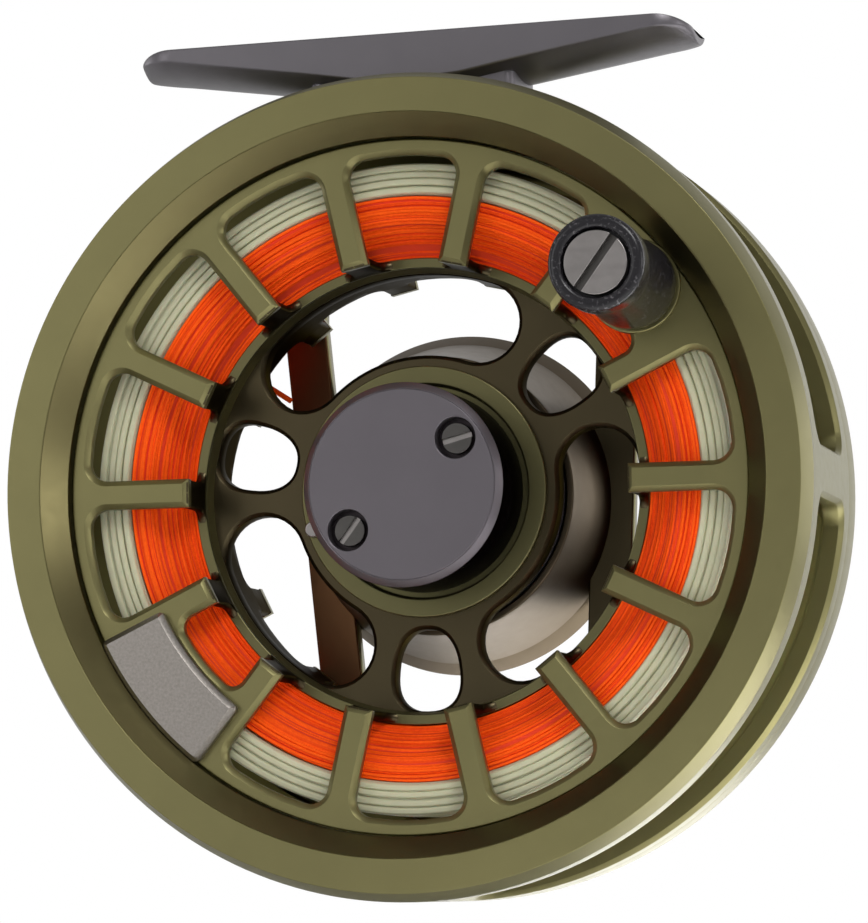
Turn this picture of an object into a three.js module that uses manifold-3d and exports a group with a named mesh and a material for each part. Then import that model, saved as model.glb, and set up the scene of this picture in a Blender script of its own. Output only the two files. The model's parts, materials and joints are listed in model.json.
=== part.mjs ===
// Fly reel with a full-cage frame, a ported large-arbor spool and a sealed disc drag.
// Millimetres, +Z up. The spool turns about Y, the handle side faces -Y and the foot is on top.
// Everything is modelled with the spool axis at x = 0, z = 0 and the cage's front face at y = 0;
// the returned group then moves the foot's saddle to the origin.
import * as THREE from 'three';
import { mergeVertices } from 'three/addons/utils/BufferGeometryUtils.js';
import Module from 'manifold-3d';

const wasm = await Module();
wasm.setup();

// ---------------------------------------------------------------- driving dimensions
const GAP = 0.1; // between turned parts that sit in one another
const FINE = 64; // sides of the large circles
const MEDIUM = 32;
const SMALL = 16;

const CAGE_R = 46;
const CAGE_WIDTH = 32;
const CAGE_CHAMFER = 0.75;
const FACE_INNER_R = 41.25;
const BORE_R = 39.8;
const LIP_DEPTH = 3.4; // depth of the inner cone in front of the spool
const FRONT_RING_DEPTH = 6.6;
const BACK_RING_Y = 23.5;
const PILLAR_INNER_R = 43.2;
const PILLAR_ARC = 7.4; // degrees
const PILLAR_ANGLES = [0, 180, 270];
const BRIDGE_ARC = 36; // the wide pillar under the foot
const BRIDGE_INNER_R = 41.2;
const BACK_PLATE_Y = 28.7;
const BACK_PLATE_INNER_R = 33;
const BAR_WIDTH = 4.9;

const HANDLE_ANGLE = 37.7; // degrees from +X, seen from the handle side
const WINDOWS = 14;
const PITCH = 360 / WINDOWS;
const FLANGE_R = 39.35;
const FLANGE_Y = 3.8;
const FLANGE_T = 2.2;
const BACK_FLANGE_Y = 25.6;
const WINDOW_R = 37.0;
const SHORT_WINDOW_R = 30.2; // the windows under the handle and the counterweight
const WINDOW_CORNER = 4.2;
const SPOKE_WIDTH = 3.2;
const SPOKE_INNER_R = 25.2;
const ARBOR_R = 26.2;
const ARBOR_Y = 11;
const ARBOR_END_Y = 21;
const WEB_Y = 13;
const WEB_T = 3;
const WEB_ARMS = [0, 5, 9]; // in window pitches from the handle
const HUB_R = 14.2;
const HUB_Y = 12.2;
const HUB_RECESS_R = 12.1;
const HUB_END_Y = 17.9;
const TAIL_R = 9.4;
const TAIL_END_Y = 20.3;

const CAP_Y = 2.5;
const CAP_BASE_Y = 13;
const CAP_R = 11.4;
const CAP_FACE_R = 10.6;
const CAP_SCREW_RADIUS = 7.9;
const LATCH_ANGLE = 196.5;
const LATCH_Y = 11.1;
const LATCH_T = 1;
const LATCH_TRAVEL = 1.4;

const SPINDLE_R = 3;
const SHOULDER_R = 4;
const THREAD_R = 2.4;

const HOUSING_Y = 18.5;
const HOUSING_FRONT_R = 15.9;
const HOUSING_BACK_R = 19.9;
const HOUSING_END_Y = 33.5;
const CAVITY_R = 14.6;
const CAVITY_Y = 20.4;
const CAVITY_END_Y = 30.3;

const KNOB_Y = 33.9;
const KNOB_END_Y = 41.5;
const KNOB_R = 16.5;
const PIN_RADIUS = 9; // the push pins through the housing's back wall
const PIN_ANGLES = [90, 210, 330];
const DETENT_RADIUS = 14; // the sprung ball that clicks in the drag knob
const DETENT_ANGLE = 60;

const HANDLE_RADIUS = 33.7;
const HANDLE_BASE_Y = 2.6;
const HANDLE_END_Y = -16.5;
const WEIGHT_ARC = 26.3;
const WEIGHT_INNER_R = 30.9;
const WEIGHT_OUTER_R = 38.9;
const WEIGHT_T = 1.4;
const WEIGHT_SCREW_RADIUS = 34.6;
const WEIGHT_SCREW_TURNS = [-7, 7]; // degrees either side of the weight's middle

const LINE_OUTER_R = 36.4;
const BACKING_OUTER_R = 32.7;
const LINE_FRONT_Y = FLANGE_Y + FLANGE_T + 0.4;
const LINE_BACK_Y = BACK_FLANGE_Y - 0.4;

const FOOT_LENGTH = 64.6;
const FOOT_WIDTH = 14;
const FOOT_Y = 17; // middle of the foot, behind the cage's front face
const FOOT_TOP = 52.2; // above the spool axis
const SADDLE_DEPTH = 1.9;
const PAD_TOP = 44.2;
const PEDESTAL_LENGTH = 24;
const PEDESTAL_WIDTH = 10.4;
const FOOT_SCREWS = [[-5.6, 0], [5.6, 3.4], [5.6, -3.4]];

// ---------------------------------------------------------------- materials
const material = (color, roughness, metalness) =>
  new THREE.MeshStandardMaterial({ color, roughness, metalness });
const OLIVE = material(0x76713f, 0.42, 0.75);
const BLACK_ANODISED = material(0x4a474c, 0.45, 0.7);
const FOOT_GREY = material(0x646164, 0.5, 0.7);
const STEEL = material(0xa8a39e, 0.32, 1);
const BRASS = material(0xb9974f, 0.35, 1);
const WEIGHT_STEEL = material(0x918a86, 0.4, 1);
const BLACK_PLASTIC = material(0x2b292d, 0.5, 0);
const CARBON = material(0x1d1d1f, 0.6, 0);
const RUBBER = material(0x141414, 0.8, 0);
const ACETAL = material(0xe6e2d8, 0.5, 0);
const ORANGE_DACRON = material(0xff5a14, 0.8, 0);
const SAGE_PVC = material(0xb4b496, 0.55, 0);

// ---------------------------------------------------------------- helpers
const rad = THREE.MathUtils.degToRad;

function toManifold(geometry) {
  const bare = geometry.index ? geometry.toNonIndexed() : geometry.clone();
  bare.deleteAttribute('normal');
  bare.deleteAttribute('uv');
  const merged = mergeVertices(bare, 1e-4);
  return new wasm.Manifold(new wasm.Mesh({
    numProp: 3,
    vertProperties: Float32Array.from(merged.attributes.position.array),
    triVerts: Uint32Array.from(merged.index.array),
  }));
}

function toGeometry(solid) {
  const mesh = solid.getMesh();
  const geometry = new THREE.BufferGeometry();
  const points = new Float32Array(mesh.numVert * 3);
  for (let i = 0; i < mesh.numVert; i += 1) {
    for (let k = 0; k < 3; k += 1) points[i * 3 + k] = mesh.vertProperties[i * mesh.numProp + k];
  }
  geometry.setAttribute('position', new THREE.BufferAttribute(points, 3));
  geometry.setIndex(new THREE.BufferAttribute(Uint32Array.from(mesh.triVerts), 1));
  return geometry;
}

const join = (first, ...others) =>
  toGeometry(others.reduce((solid, other) => solid.add(toManifold(other)), toManifold(first)));
const cut = (first, ...others) =>
  toGeometry(others.reduce((solid, other) => solid.subtract(toManifold(other)), toManifold(first)));

// A turned solid about the Y axis from a closed outline of [radius, y] points.
function turned(outline, sides = SMALL) {
  const area = outline.reduce((sum, [r, y], i) => {
    const [nextR, nextY] = outline[(i + 1) % outline.length];
    return sum + r * nextY - nextR * y;
  }, 0);
  const ordered = area > 0 ? [...outline] : [...outline].reverse();
  ordered.push(ordered[0]);
  return new THREE.LatheGeometry(ordered.map(([r, y]) => new THREE.Vector2(r, y)), sides);
}

// A solid of revolution whose outline starts and ends on the axis.
function turnedSolid(outline, sides = SMALL) {
  const rising = outline[outline.length - 1][1] > outline[0][1];
  const ordered = rising ? outline : [...outline].reverse();
  return new THREE.LatheGeometry(ordered.map(([r, y]) => new THREE.Vector2(r, y)), sides);
}

const ring = (innerR, outerR, y0, y1, sides = SMALL) =>
  turned([[innerR, y0], [outerR, y0], [outerR, y1], [innerR, y1]], sides);
const disc = (radius, y0, y1, sides = SMALL) =>
  turnedSolid([[0, y0], [radius, y0], [radius, y1], [0, y1]], sides);
const box = (x0, x1, y0, y1, z0, z1) => new THREE.BoxGeometry(x1 - x0, y1 - y0, z1 - z0)
  .translate((x0 + x1) / 2, (y0 + y1) / 2, (z0 + z1) / 2);

// A flat outline in X-Z, given a thickness from y0 to y1.
function plate(shape, y0, y1, curveSegments = 6) {
  return new THREE.ExtrudeGeometry(shape, { depth: y1 - y0, bevelEnabled: false, curveSegments })
    .rotateX(Math.PI / 2).translate(0, y1, 0);
}

// Moves a piece out from the axis and round it by an angle in degrees.
const atAngle = (geometry, radius, degrees) =>
  geometry.translate(radius, 0, 0).rotateY(-rad(degrees));

const polar = (radius, degrees) =>
  new THREE.Vector2(radius * Math.cos(rad(degrees)), radius * Math.sin(rad(degrees)));

// Points of a rounded corner at `corner` between the straight lines to its two neighbours.
function rounded(before, corner, after, radius, steps = 4) {
  const toBefore = before.clone().sub(corner).normalize();
  const toAfter = after.clone().sub(corner).normalize();
  const half = Math.acos(THREE.MathUtils.clamp(toBefore.dot(toAfter), -1, 1)) / 2;
  const reach = radius / Math.tan(half);
  const centre = corner.clone()
    .add(toBefore.clone().add(toAfter).normalize().multiplyScalar(radius / Math.sin(half)));
  const from = corner.clone().addScaledVector(toBefore, reach).sub(centre).angle();
  const to = corner.clone().addScaledVector(toAfter, reach).sub(centre).angle();
  const turn = Math.atan2(Math.sin(to - from), Math.cos(to - from));
  return Array.from({ length: steps + 1 }, (_, i) => centre.clone().add(
    new THREE.Vector2(radius, 0).rotateAround(new THREE.Vector2(), from + (turn * i) / steps)));
}

function circlePath(radius, sides, degrees = 0, x = 0, z = 0) {
  return Array.from({ length: sides }, (_, i) =>
    polar(radius, degrees + (360 * i) / sides).add(new THREE.Vector2(x, z)));
}

// A coil spring along Y from y0 to y1, as one closed tube.
function coil(radius, wire, y0, y1, turns, stepsPerTurn = 8) {
  const steps = turns * stepsPerTurn;
  const points = Array.from({ length: steps + 1 }, (_, i) => {
    const angle = (2 * Math.PI * i) / stepsPerTurn;
    const y = y0 + ((y1 - y0) * i) / steps;
    return new THREE.Vector3(radius * Math.cos(angle), y, radius * Math.sin(angle));
  });
  const section = new THREE.Shape(circlePath(wire, 6));
  return new THREE.ExtrudeGeometry(section, {
    steps, bevelEnabled: false, extrudePath: new THREE.CatmullRomCurve3(points),
  });
}

const reel = new THREE.Group();
function add(name, geometry, look) {
  const mesh = new THREE.Mesh(geometry, look);
  mesh.name = name;
  reel.add(mesh);
}

// ---------------------------------------------------------------- frame
function cageSector(innerR, outerR, middle, arc, y0, y1) {
  const steps = Math.max(2, Math.round(arc / 4));
  const angles = Array.from({ length: steps + 1 }, (_, i) => middle - arc / 2 + (arc * i) / steps);
  const outline = [...angles.map((a) => polar(outerR, a)), ...angles.reverse().map((a) => polar(innerR, a))];
  return plate(new THREE.Shape(outline), y0, y1);
}

function frontRing() {
  return turned([
    [FACE_INNER_R, 0], [CAGE_R - CAGE_CHAMFER, 0], [CAGE_R, CAGE_CHAMFER],
    [CAGE_R, FRONT_RING_DEPTH - 0.6], [CAGE_R - 0.6, FRONT_RING_DEPTH],
    [BORE_R, FRONT_RING_DEPTH], [BORE_R, LIP_DEPTH],
  ], FINE);
}

function backRing() {
  return turned([
    [PILLAR_INNER_R, BACK_RING_Y], [CAGE_R - 0.7, BACK_RING_Y], [CAGE_R, BACK_RING_Y + 0.7],
    [CAGE_R, CAGE_WIDTH - CAGE_CHAMFER], [CAGE_R - CAGE_CHAMFER, CAGE_WIDTH],
    [BACK_PLATE_INNER_R, CAGE_WIDTH], [BACK_PLATE_INNER_R, BACK_PLATE_Y],
    [BORE_R, BACK_PLATE_Y], [BORE_R, BACK_RING_Y + 1.8],
  ], FINE);
}

// A back bar between two points of the X-Z plane, running on into the ring at both ends.
function backBar(topX, bottomX) {
  const half = BAR_WIDTH / 2;
  const reach = BACK_PLATE_INNER_R - 1;
  const shape = new THREE.Shape([
    new THREE.Vector2(bottomX - half, -reach), new THREE.Vector2(bottomX + half, -reach),
    new THREE.Vector2(topX + half, reach), new THREE.Vector2(topX - half, reach),
  ]);
  return plate(shape, BACK_PLATE_Y, CAGE_WIDTH - 0.6);
}

function dragHousing() {
  return turned([
    [CAVITY_R + 0.5, HOUSING_Y], [HOUSING_FRONT_R, HOUSING_Y], [17.1, 25], [18.6, 30.5],
    [HOUSING_BACK_R, HOUSING_END_Y - 0.8], [HOUSING_BACK_R - 0.8, HOUSING_END_Y],
    [THREAD_R + GAP, HOUSING_END_Y], [THREAD_R + GAP, CAVITY_END_Y],
    [CAVITY_R, CAVITY_END_Y], [CAVITY_R, CAVITY_Y], [CAVITY_R + 0.5, CAVITY_Y],
  ], MEDIUM);
}

function frameGeometry() {
  const pillars = PILLAR_ANGLES.map((angle) =>
    cageSector(PILLAR_INNER_R, CAGE_R, angle, PILLAR_ARC, FRONT_RING_DEPTH - 1, BACK_RING_Y + 1.5));
  const bridge = cageSector(BRIDGE_INNER_R, CAGE_R, 90, BRIDGE_ARC, FRONT_RING_DEPTH - 1, BACK_RING_Y + 1.5);
  const body = join(frontRing(), backRing(), ...pillars, bridge,
    backBar(-19.1, -13.5), backBar(20.3, 16.2), dragHousing());
  const pad = box(-PEDESTAL_LENGTH / 2 - 0.2, PEDESTAL_LENGTH / 2 + 0.2,
    FOOT_Y - PEDESTAL_WIDTH / 2 - 0.2, FOOT_Y + PEDESTAL_WIDTH / 2 + 0.2, PAD_TOP, CAGE_R + 1);
  const pinHoles = PIN_ANGLES.map((angle) =>
    atAngle(disc(1.1, CAVITY_END_Y - 1, HOUSING_END_Y + 1, 12), PIN_RADIUS, angle));
  const detentPocket = atAngle(disc(1.15, 31.2, HOUSING_END_Y + 1, 12), DETENT_RADIUS, DETENT_ANGLE);
  const footHoles = FOOT_SCREWS.map(([x, y]) =>
    disc(1.65, 38, 48, 12).rotateX(Math.PI / 2).translate(x, FOOT_Y + y, 0));
  const sinks = FOOT_SCREWS.map(([x, y]) =>
    disc(2.75, 38, 42.5, 16).rotateX(Math.PI / 2).translate(x, FOOT_Y + y, 0));
  return cut(body, pad, ...pinHoles, detentPocket, ...footHoles, ...sinks);
}
add('frame', frameGeometry(), OLIVE);

// ---------------------------------------------------------------- reel foot
// Depth of the concave saddle at a distance from its middle line; the middle facet is flat.
const FACET_HALF_WIDTH = 1.7;
function saddleDip(y) {
  const saddleR = (FOOT_WIDTH ** 2 / 4 + SADDLE_DEPTH ** 2) / (2 * SADDLE_DEPTH);
  return Math.sqrt(saddleR ** 2 - Math.max(Math.abs(y), FACET_HALF_WIDTH) ** 2) - (saddleR - SADDLE_DEPTH);
}

// One cross-section of the foot: concave on top, flat-bottomed with cut corners.
function footSection(x, halfWidth, sideHeight, middleHeight) {
  const inner = FACET_HALF_WIDTH;
  const outer = (inner + halfWidth) / 2;
  const top = [-halfWidth, -outer, -inner, inner, outer, halfWidth].map((y) => [y, FOOT_TOP - saddleDip(y)]);
  const bottom = [
    [halfWidth, FOOT_TOP - sideHeight], [halfWidth * 0.62, FOOT_TOP - middleHeight],
    [-halfWidth * 0.62, FOOT_TOP - middleHeight], [-halfWidth, FOOT_TOP - sideHeight],
  ];
  return [...top, ...bottom].reverse().map(([y, z]) => new THREE.Vector3(x, FOOT_Y + y, z));
}

// Skins a row of equal cross-sections and closes both ends.
function loft(sections) {
  const count = sections[0].length;
  const positions = sections.flat().flatMap((p) => [p.x, p.y, p.z]);
  const index = [];
  for (let s = 0; s < sections.length - 1; s += 1) {
    for (let i = 0; i < count; i += 1) {
      const a = s * count + i;
      const b = s * count + ((i + 1) % count);
      index.push(a, b, a + count, b, b + count, a + count);
    }
  }
  const flat = sections[0].map((p) => new THREE.Vector2(p.y, p.z));
  const last = (sections.length - 1) * count;
  for (const [a, b, c] of THREE.ShapeUtils.triangulateShape(flat, [])) {
    index.push(a, c, b);
    index.push(last + a, last + b, last + c);
  }
  const geometry = new THREE.BufferGeometry();
  geometry.setAttribute('position', new THREE.Float32BufferAttribute(positions, 3));
  geometry.setIndex(index);
  return geometry;
}

function footGeometry() {
  const half = FOOT_WIDTH / 2;
  const tip = FOOT_LENGTH / 2;
  const stations = [
    [tip, 3.2, 1.9, 2.8], [tip - 1.2, 5.2, 1.8, 2.9], [tip - 4, half, 1.6, 3.2],
    [PEDESTAL_LENGTH / 2, half, 4.15, 5.7], [PEDESTAL_LENGTH / 4, half, 5.2, 6.6],
  ];
  const sections = [
    ...stations.map(([x, width, side, middle]) => footSection(-x, width, side, middle)),
    ...stations.toReversed().map(([x, width, side, middle]) => footSection(x, width, side, middle)),
  ];
  const pedestal = box(-PEDESTAL_LENGTH / 2, PEDESTAL_LENGTH / 2,
    FOOT_Y - PEDESTAL_WIDTH / 2, FOOT_Y + PEDESTAL_WIDTH / 2, PAD_TOP, FOOT_TOP - 3);
  const holes = FOOT_SCREWS.map(([x, y]) =>
    disc(1.3, 40, 48.3, 12).rotateX(Math.PI / 2).translate(x, FOOT_Y + y, 0));
  return cut(join(loft(sections), pedestal), ...holes);
}
add('reel_foot', footGeometry(), FOOT_GREY);

FOOT_SCREWS.forEach(([x, y], i) => {
  const screw = turnedSolid([
    [0, 41.1], [2.55, 41.1], [2.55, 42.4], [1.2, 42.4], [1.2, 48], [0, 48],
  ], 16).rotateX(Math.PI / 2).translate(x, FOOT_Y + y, 0);
  add(`foot_screw_${i + 1}`, screw, STEEL);
});

// ---------------------------------------------------------------- spindle and drag
add('spindle', turnedSolid([
  [0, 5.4], [2.4, 5.4], [SPINDLE_R, 6], [SPINDLE_R, 10.4], [2.2, 10.8], [2.2, 12.2],
  [SPINDLE_R, 12.6], [SPINDLE_R, 21], [SHOULDER_R, 21], [SHOULDER_R, CAVITY_END_Y - GAP],
  [THREAD_R, CAVITY_END_Y - GAP], [THREAD_R, 39.4], [0, 39.4],
]), STEEL);

function hexNut(holeR, cornerR, y0, y1) {
  const shape = new THREE.Shape(circlePath(cornerR, 6));
  shape.holes.push(new THREE.Path(circlePath(holeR, SMALL)));
  return plate(shape, y0, y1);
}
add('spindle_nut', hexNut(THREAD_R + GAP, 4.8, HOUSING_END_Y + 0.1, HOUSING_END_Y + 2), STEEL);

add('drag_cover', turned([
  [10.2, HOUSING_Y + 0.1], [CAVITY_R + 0.35, HOUSING_Y + 0.1], [CAVITY_R + 0.35, CAVITY_Y - 0.1],
  [10.2, CAVITY_Y - 0.1],
], MEDIUM), BLACK_ANODISED);
add('cover_seal', ring(9.65, 10.05, 19, 20, MEDIUM), RUBBER);

// Three dogs of the rotor stand in three notches of the spool's tail.
const DOG_ANGLES = [0, 120, 240].map((angle) => HANDLE_ANGLE + angle);
const DOG_ARC = 36;

function rotorGeometry() {
  const dogs = DOG_ANGLES.map((angle) => cageSector(6.6, 9.1, angle, DOG_ARC, 18.9, 20.8));
  return join(ring(7.1, 9.1, 20.6, 21.4), ring(7.1, 8, 21.2, 27), ...dogs);
}
add('drag_rotor', rotorGeometry(), STEEL);

// Fine saw teeth round the rotor's collar.
function clickWheelGeometry() {
  const teeth = 30;
  const outline = Array.from({ length: teeth }, (_, i) => [
    polar(10.4, (360 * i) / teeth), polar(11, (360 * (i + 0.35)) / teeth),
    polar(11, (360 * (i + 0.55)) / teeth),
  ]).flat();
  const shape = new THREE.Shape(outline);
  shape.holes.push(new THREE.Path(circlePath(9.4, SMALL)));
  return plate(shape, 20.6, 21.4);
}
add('click_wheel', clickWheelGeometry(), BRASS);

const PAWL_ANGLE = 120;
function pawlGeometry() {
  const outline = [[-0.5, -0.95], [0.45, -0.95], [0.95, 0], [0.45, 0.95], [-0.5, 0.95], [-1.35, 0.25],
    [-1.35, -0.25]].map(([x, z]) => new THREE.Vector2(x, z));
  const shape = new THREE.Shape(outline);
  shape.holes.push(new THREE.Path(circlePath(0.55, 8)));
  return atAngle(plate(shape, 20.7, 21.3), 12.7, PAWL_ANGLE);
}
add('click_pawl', pawlGeometry(), STEEL);
add('pawl_pin', atAngle(disc(0.45, CAVITY_Y, 21.5, 8), 12.7, PAWL_ANGLE), STEEL);
add('pawl_spring', atAngle(box(0, 0.2, 20.75, 21.25, -3.2, -0.2), 13.9, PAWL_ANGLE), STEEL);

// Rollers and their cage as one ring with a bulge at each roller.
function rollerCageGeometry() {
  const rollers = 8;
  const outline = Array.from({ length: rollers * 3 }, (_, i) =>
    polar(i % 3 === 0 ? 8.85 : 8.55, (360 * i) / (rollers * 3)));
  const shape = new THREE.Shape(outline);
  shape.holes.push(new THREE.Path(circlePath(8.15, SMALL)));
  return plate(shape, 22, 26.6);
}
add('clutch_rollers', rollerCageGeometry(), STEEL);
add('clutch_shell', ring(9.1, 9.75, 21.8, 26.8), STEEL);
add('brake_hub', ring(9.9, 11.1, 21.8, 26.8), BRASS);

const DISC_T = 0.8;
const DISC_PITCH = 0.95;
const DISC_START = 21.9;
const STACK = ['carbon_disc_1', 'steel_disc_1', 'carbon_disc_2', 'steel_disc_2', 'carbon_disc_3'];
STACK.forEach((name, i) => {
  const y = DISC_START + i * DISC_PITCH;
  const isCarbon = name.startsWith('carbon');
  const inner = isCarbon ? 11.2 : 11.6;
  const outer = isCarbon ? 14 : 14.4;
  add(name, ring(inner, outer, y, y + DISC_T), isCarbon ? CARBON : STEEL);
});

const PLATE_Y = 27.1;
add('pressure_plate', turned([
  [4.4, PLATE_Y + 0.3], [11.4, PLATE_Y + 0.3], [11.4, PLATE_Y], [14.2, PLATE_Y],
  [14.2, PLATE_Y + 1], [4.4, PLATE_Y + 1],
]), STEEL);
const springCone = (y, rise) => turned([[6.5, y], [6.5, y + 0.4], [11.5, y + 0.4 + rise], [11.5, y + rise]]);
add('disc_spring_1', springCone(28.55, -0.3), STEEL);
add('disc_spring_2', springCone(28.95, 0.3), STEEL);
PIN_ANGLES.forEach((angle, i) => {
  add(`push_pin_${i + 1}`, atAngle(disc(0.9, 29.85, 33.95, 12), PIN_RADIUS, angle), STEEL);
});
add('thrust_ring', ring(7.6, 10.6, 34.1, 35), BRASS);

// ---------------------------------------------------------------- drag knob
function dragKnobGeometry() {
  const body = turned([
    [THREAD_R + GAP, 36.6], [11.6, 36.6], [11.6, KNOB_Y], [KNOB_R - 0.6, KNOB_Y],
    [KNOB_R, KNOB_Y + 0.6], [KNOB_R, KNOB_END_Y - 1.2], [KNOB_R - 1.2, KNOB_END_Y],
    [4.2, KNOB_END_Y], [4.2, 39.9], [THREAD_R + GAP, 39.9],
  ], MEDIUM);
  const scallops = Array.from({ length: 12 }, (_, i) =>
    atAngle(disc(2.2, KNOB_Y + 1.4, KNOB_END_Y + 1, 10), KNOB_R + 1.4, 15 + 30 * i));
  return cut(body, ...scallops);
}
add('drag_knob', dragKnobGeometry(), BLACK_ANODISED);
add('knob_screw', turnedSolid([
  [0, 39.5], [2, 39.5], [2, 40], [3.6, 40], [3.6, 41], [3, 41.3], [0, 41.3],
], 16), STEEL);
add('knob_seal', ring(12, 12.9, 33.55, 33.85, MEDIUM), RUBBER);
add('detent_ball', atAngle(new THREE.SphereGeometry(0.95, 12, 8).translate(0, 32.85, 0),
  DETENT_RADIUS, DETENT_ANGLE), STEEL);
add('detent_spring', atAngle(disc(0.8, 31.25, 31.5, 12), DETENT_RADIUS, DETENT_ANGLE), STEEL);

// ---------------------------------------------------------------- spool
// The flange: a disc with open windows between spokes whose inner ends stand free.
function flangeShape(shortened) {
  const shape = new THREE.Shape(circlePath(FLANGE_R, FINE));
  const hole = [];
  for (let i = 0; i < WINDOWS; i += 1) {
    const middle = HANDLE_ANGLE + i * PITCH;
    const isShort = shortened.includes(i);
    hole.push(...windowOutline(middle, isShort ? SHORT_WINDOW_R : WINDOW_R, isShort ? 2.2 : WINDOW_CORNER));
  }
  shape.holes.push(new THREE.Path(hole));
  return shape;
}

// One window from spoke to spoke: up the first side, along the outer arc, down the second side.
function windowOutline(middle, outerR, corner) {
  const half = SPOKE_WIDTH / 2;
  const sidePoint = (radius, side) => {
    const spoke = middle + (side * PITCH) / 2;
    const along = Math.sqrt(radius ** 2 - half ** 2);
    return polar(along, spoke).add(polar(half, spoke - side * 90));
  };
  const [innerA, outerA] = [sidePoint(SPOKE_INNER_R, -1), sidePoint(outerR, -1)];
  const [innerB, outerB] = [sidePoint(SPOKE_INNER_R, 1), sidePoint(outerR, 1)];
  const crown = polar(outerR, middle);
  return [innerA, ...rounded(innerA, outerA, crown, corner), crown,
    ...rounded(crown, outerB, innerB, corner), innerB];
}

function webShape() {
  const shape = new THREE.Shape(circlePath(SPOKE_INNER_R + 0.5, MEDIUM));
  const arms = WEB_ARMS.map((n) => HANDLE_ANGLE + n * PITCH);
  arms.forEach((arm, i) => {
    const next = i < arms.length - 1 ? arms[i + 1] : arms[0] + 360;
    shape.holes.push(new THREE.Path(bigOpening(arm + 32.5, next - 32.5)));
    shape.holes.push(new THREE.Path(smallOpening(arm)));
  });
  shape.holes.push(new THREE.Path(circlePath(HUB_R - 1, SMALL)));
  return shape;
}

// A slot bent round the axis, with round ends.
function bigOpening(from, to) {
  const [middleR, half] = [20.1, 4.6];
  const steps = Math.round((to - from) / 8);
  const arc = (radius, a, b) => Array.from({ length: steps + 1 }, (_, i) =>
    polar(radius, a + ((b - a) * i) / steps));
  const end = (angle, turn) => [1, 2, 3, 4, 5].map((i) =>
    polar(middleR, angle).add(polar(half, angle + turn + i * 30)));
  return [...arc(middleR + half, from, to), ...end(to, 0), ...arc(middleR - half, to, from),
    ...end(from, 180)];
}

function smallOpening(angle) {
  return circlePath(1, 14).map((p) => {
    const along = 20.1 + 4.6 * p.x;
    const across = 3.7 * p.y * (1 + 0.12 * p.x);
    return new THREE.Vector2(along, across).rotateAround(new THREE.Vector2(), rad(angle));
  });
}

function hubGeometry() {
  const body = turned([
    [HUB_RECESS_R, HUB_Y], [HUB_R, HUB_Y], [HUB_R, HUB_END_Y], [TAIL_R, HUB_END_Y], [TAIL_R, TAIL_END_Y],
    [6.1, TAIL_END_Y], [6.1, 14.2], [3.5, 14.2], [3.5, CAP_BASE_Y + 0.1], [HUB_RECESS_R, CAP_BASE_Y + 0.1],
  ], MEDIUM);
  const notches = DOG_ANGLES.map((angle) =>
    cageSector(5, 10.5, angle, DOG_ARC + 8, 18.6, TAIL_END_Y + 1));
  const screwHoles = [0, 180].map((turn) =>
    atAngle(disc(1.15, 12, 17, 12), CAP_SCREW_RADIUS, HANDLE_ANGLE + turn));
  return cut(body, ...notches, ...screwHoles);
}

// The handle side's flange has the handle's boss, and holes for the post and the counterweight.
function frontFlangeGeometry() {
  const disk = plate(flangeShape([0, WINDOWS / 2]), FLANGE_Y, FLANGE_Y + FLANGE_T);
  const boss = atAngle(disc(5.8, FLANGE_Y - 0.6, FLANGE_Y + 1, SMALL), HANDLE_RADIUS, HANDLE_ANGLE);
  const postHole = atAngle(disc(1.65, 0, 10, 12), HANDLE_RADIUS, HANDLE_ANGLE);
  const weightHoles = WEIGHT_SCREW_TURNS.map((turn) =>
    atAngle(disc(0.95, 0, 10, 10), WEIGHT_SCREW_RADIUS, HANDLE_ANGLE + 180 + turn));
  return cut(join(disk, boss), postHole, ...weightHoles);
}

// The arbor, its web and hub, and the fingers that meet the inner ends of both flanges' spokes.
function spoolCoreGeometry() {
  const fingers = [];
  for (let i = 0; i < WINDOWS; i += 1) {
    const angle = HANDLE_ANGLE + (i + 0.5) * PITCH;
    const finger = (y0, y1) => box(SPOKE_INNER_R, ARBOR_R, y0, y1, -SPOKE_WIDTH / 2, SPOKE_WIDTH / 2)
      .rotateY(-rad(angle));
    fingers.push(finger(FLANGE_Y + FLANGE_T, ARBOR_Y + 1), finger(ARBOR_END_Y - 1, BACK_FLANGE_Y));
  }
  const arbor = ring(SPOKE_INNER_R, ARBOR_R, ARBOR_Y, ARBOR_END_Y, MEDIUM);
  return join(...fingers, arbor, plate(webShape(), WEB_Y, WEB_Y + WEB_T), hubGeometry());
}
add('spool_front_flange', frontFlangeGeometry(), OLIVE);
add('spool_back_flange', plate(flangeShape([]), BACK_FLANGE_Y, BACK_FLANGE_Y + FLANGE_T), OLIVE);
add('spool_core', spoolCoreGeometry(), OLIVE);

// Braided backing: narrow on the arbor, then as wide as the space between the flanges.
add('backing', turned([
  [26.5, ARBOR_Y + 0.2], [30.6, LINE_FRONT_Y], [BACKING_OUTER_R, LINE_FRONT_Y],
  [BACKING_OUTER_R, LINE_BACK_Y], [30.6, LINE_BACK_Y], [26.5, ARBOR_END_Y - 0.2],
], MEDIUM), ORANGE_DACRON);
add('fly_line', ring(BACKING_OUTER_R + 0.3, LINE_OUTER_R, LINE_FRONT_Y, LINE_BACK_Y, MEDIUM), SAGE_PVC);
add('backing_tag', disc(0.32, 21.8, 26, 8).rotateZ(-Math.PI / 2).translate(0, 22.4, 0)
  .rotateY(-rad(146)), ORANGE_DACRON);

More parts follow.
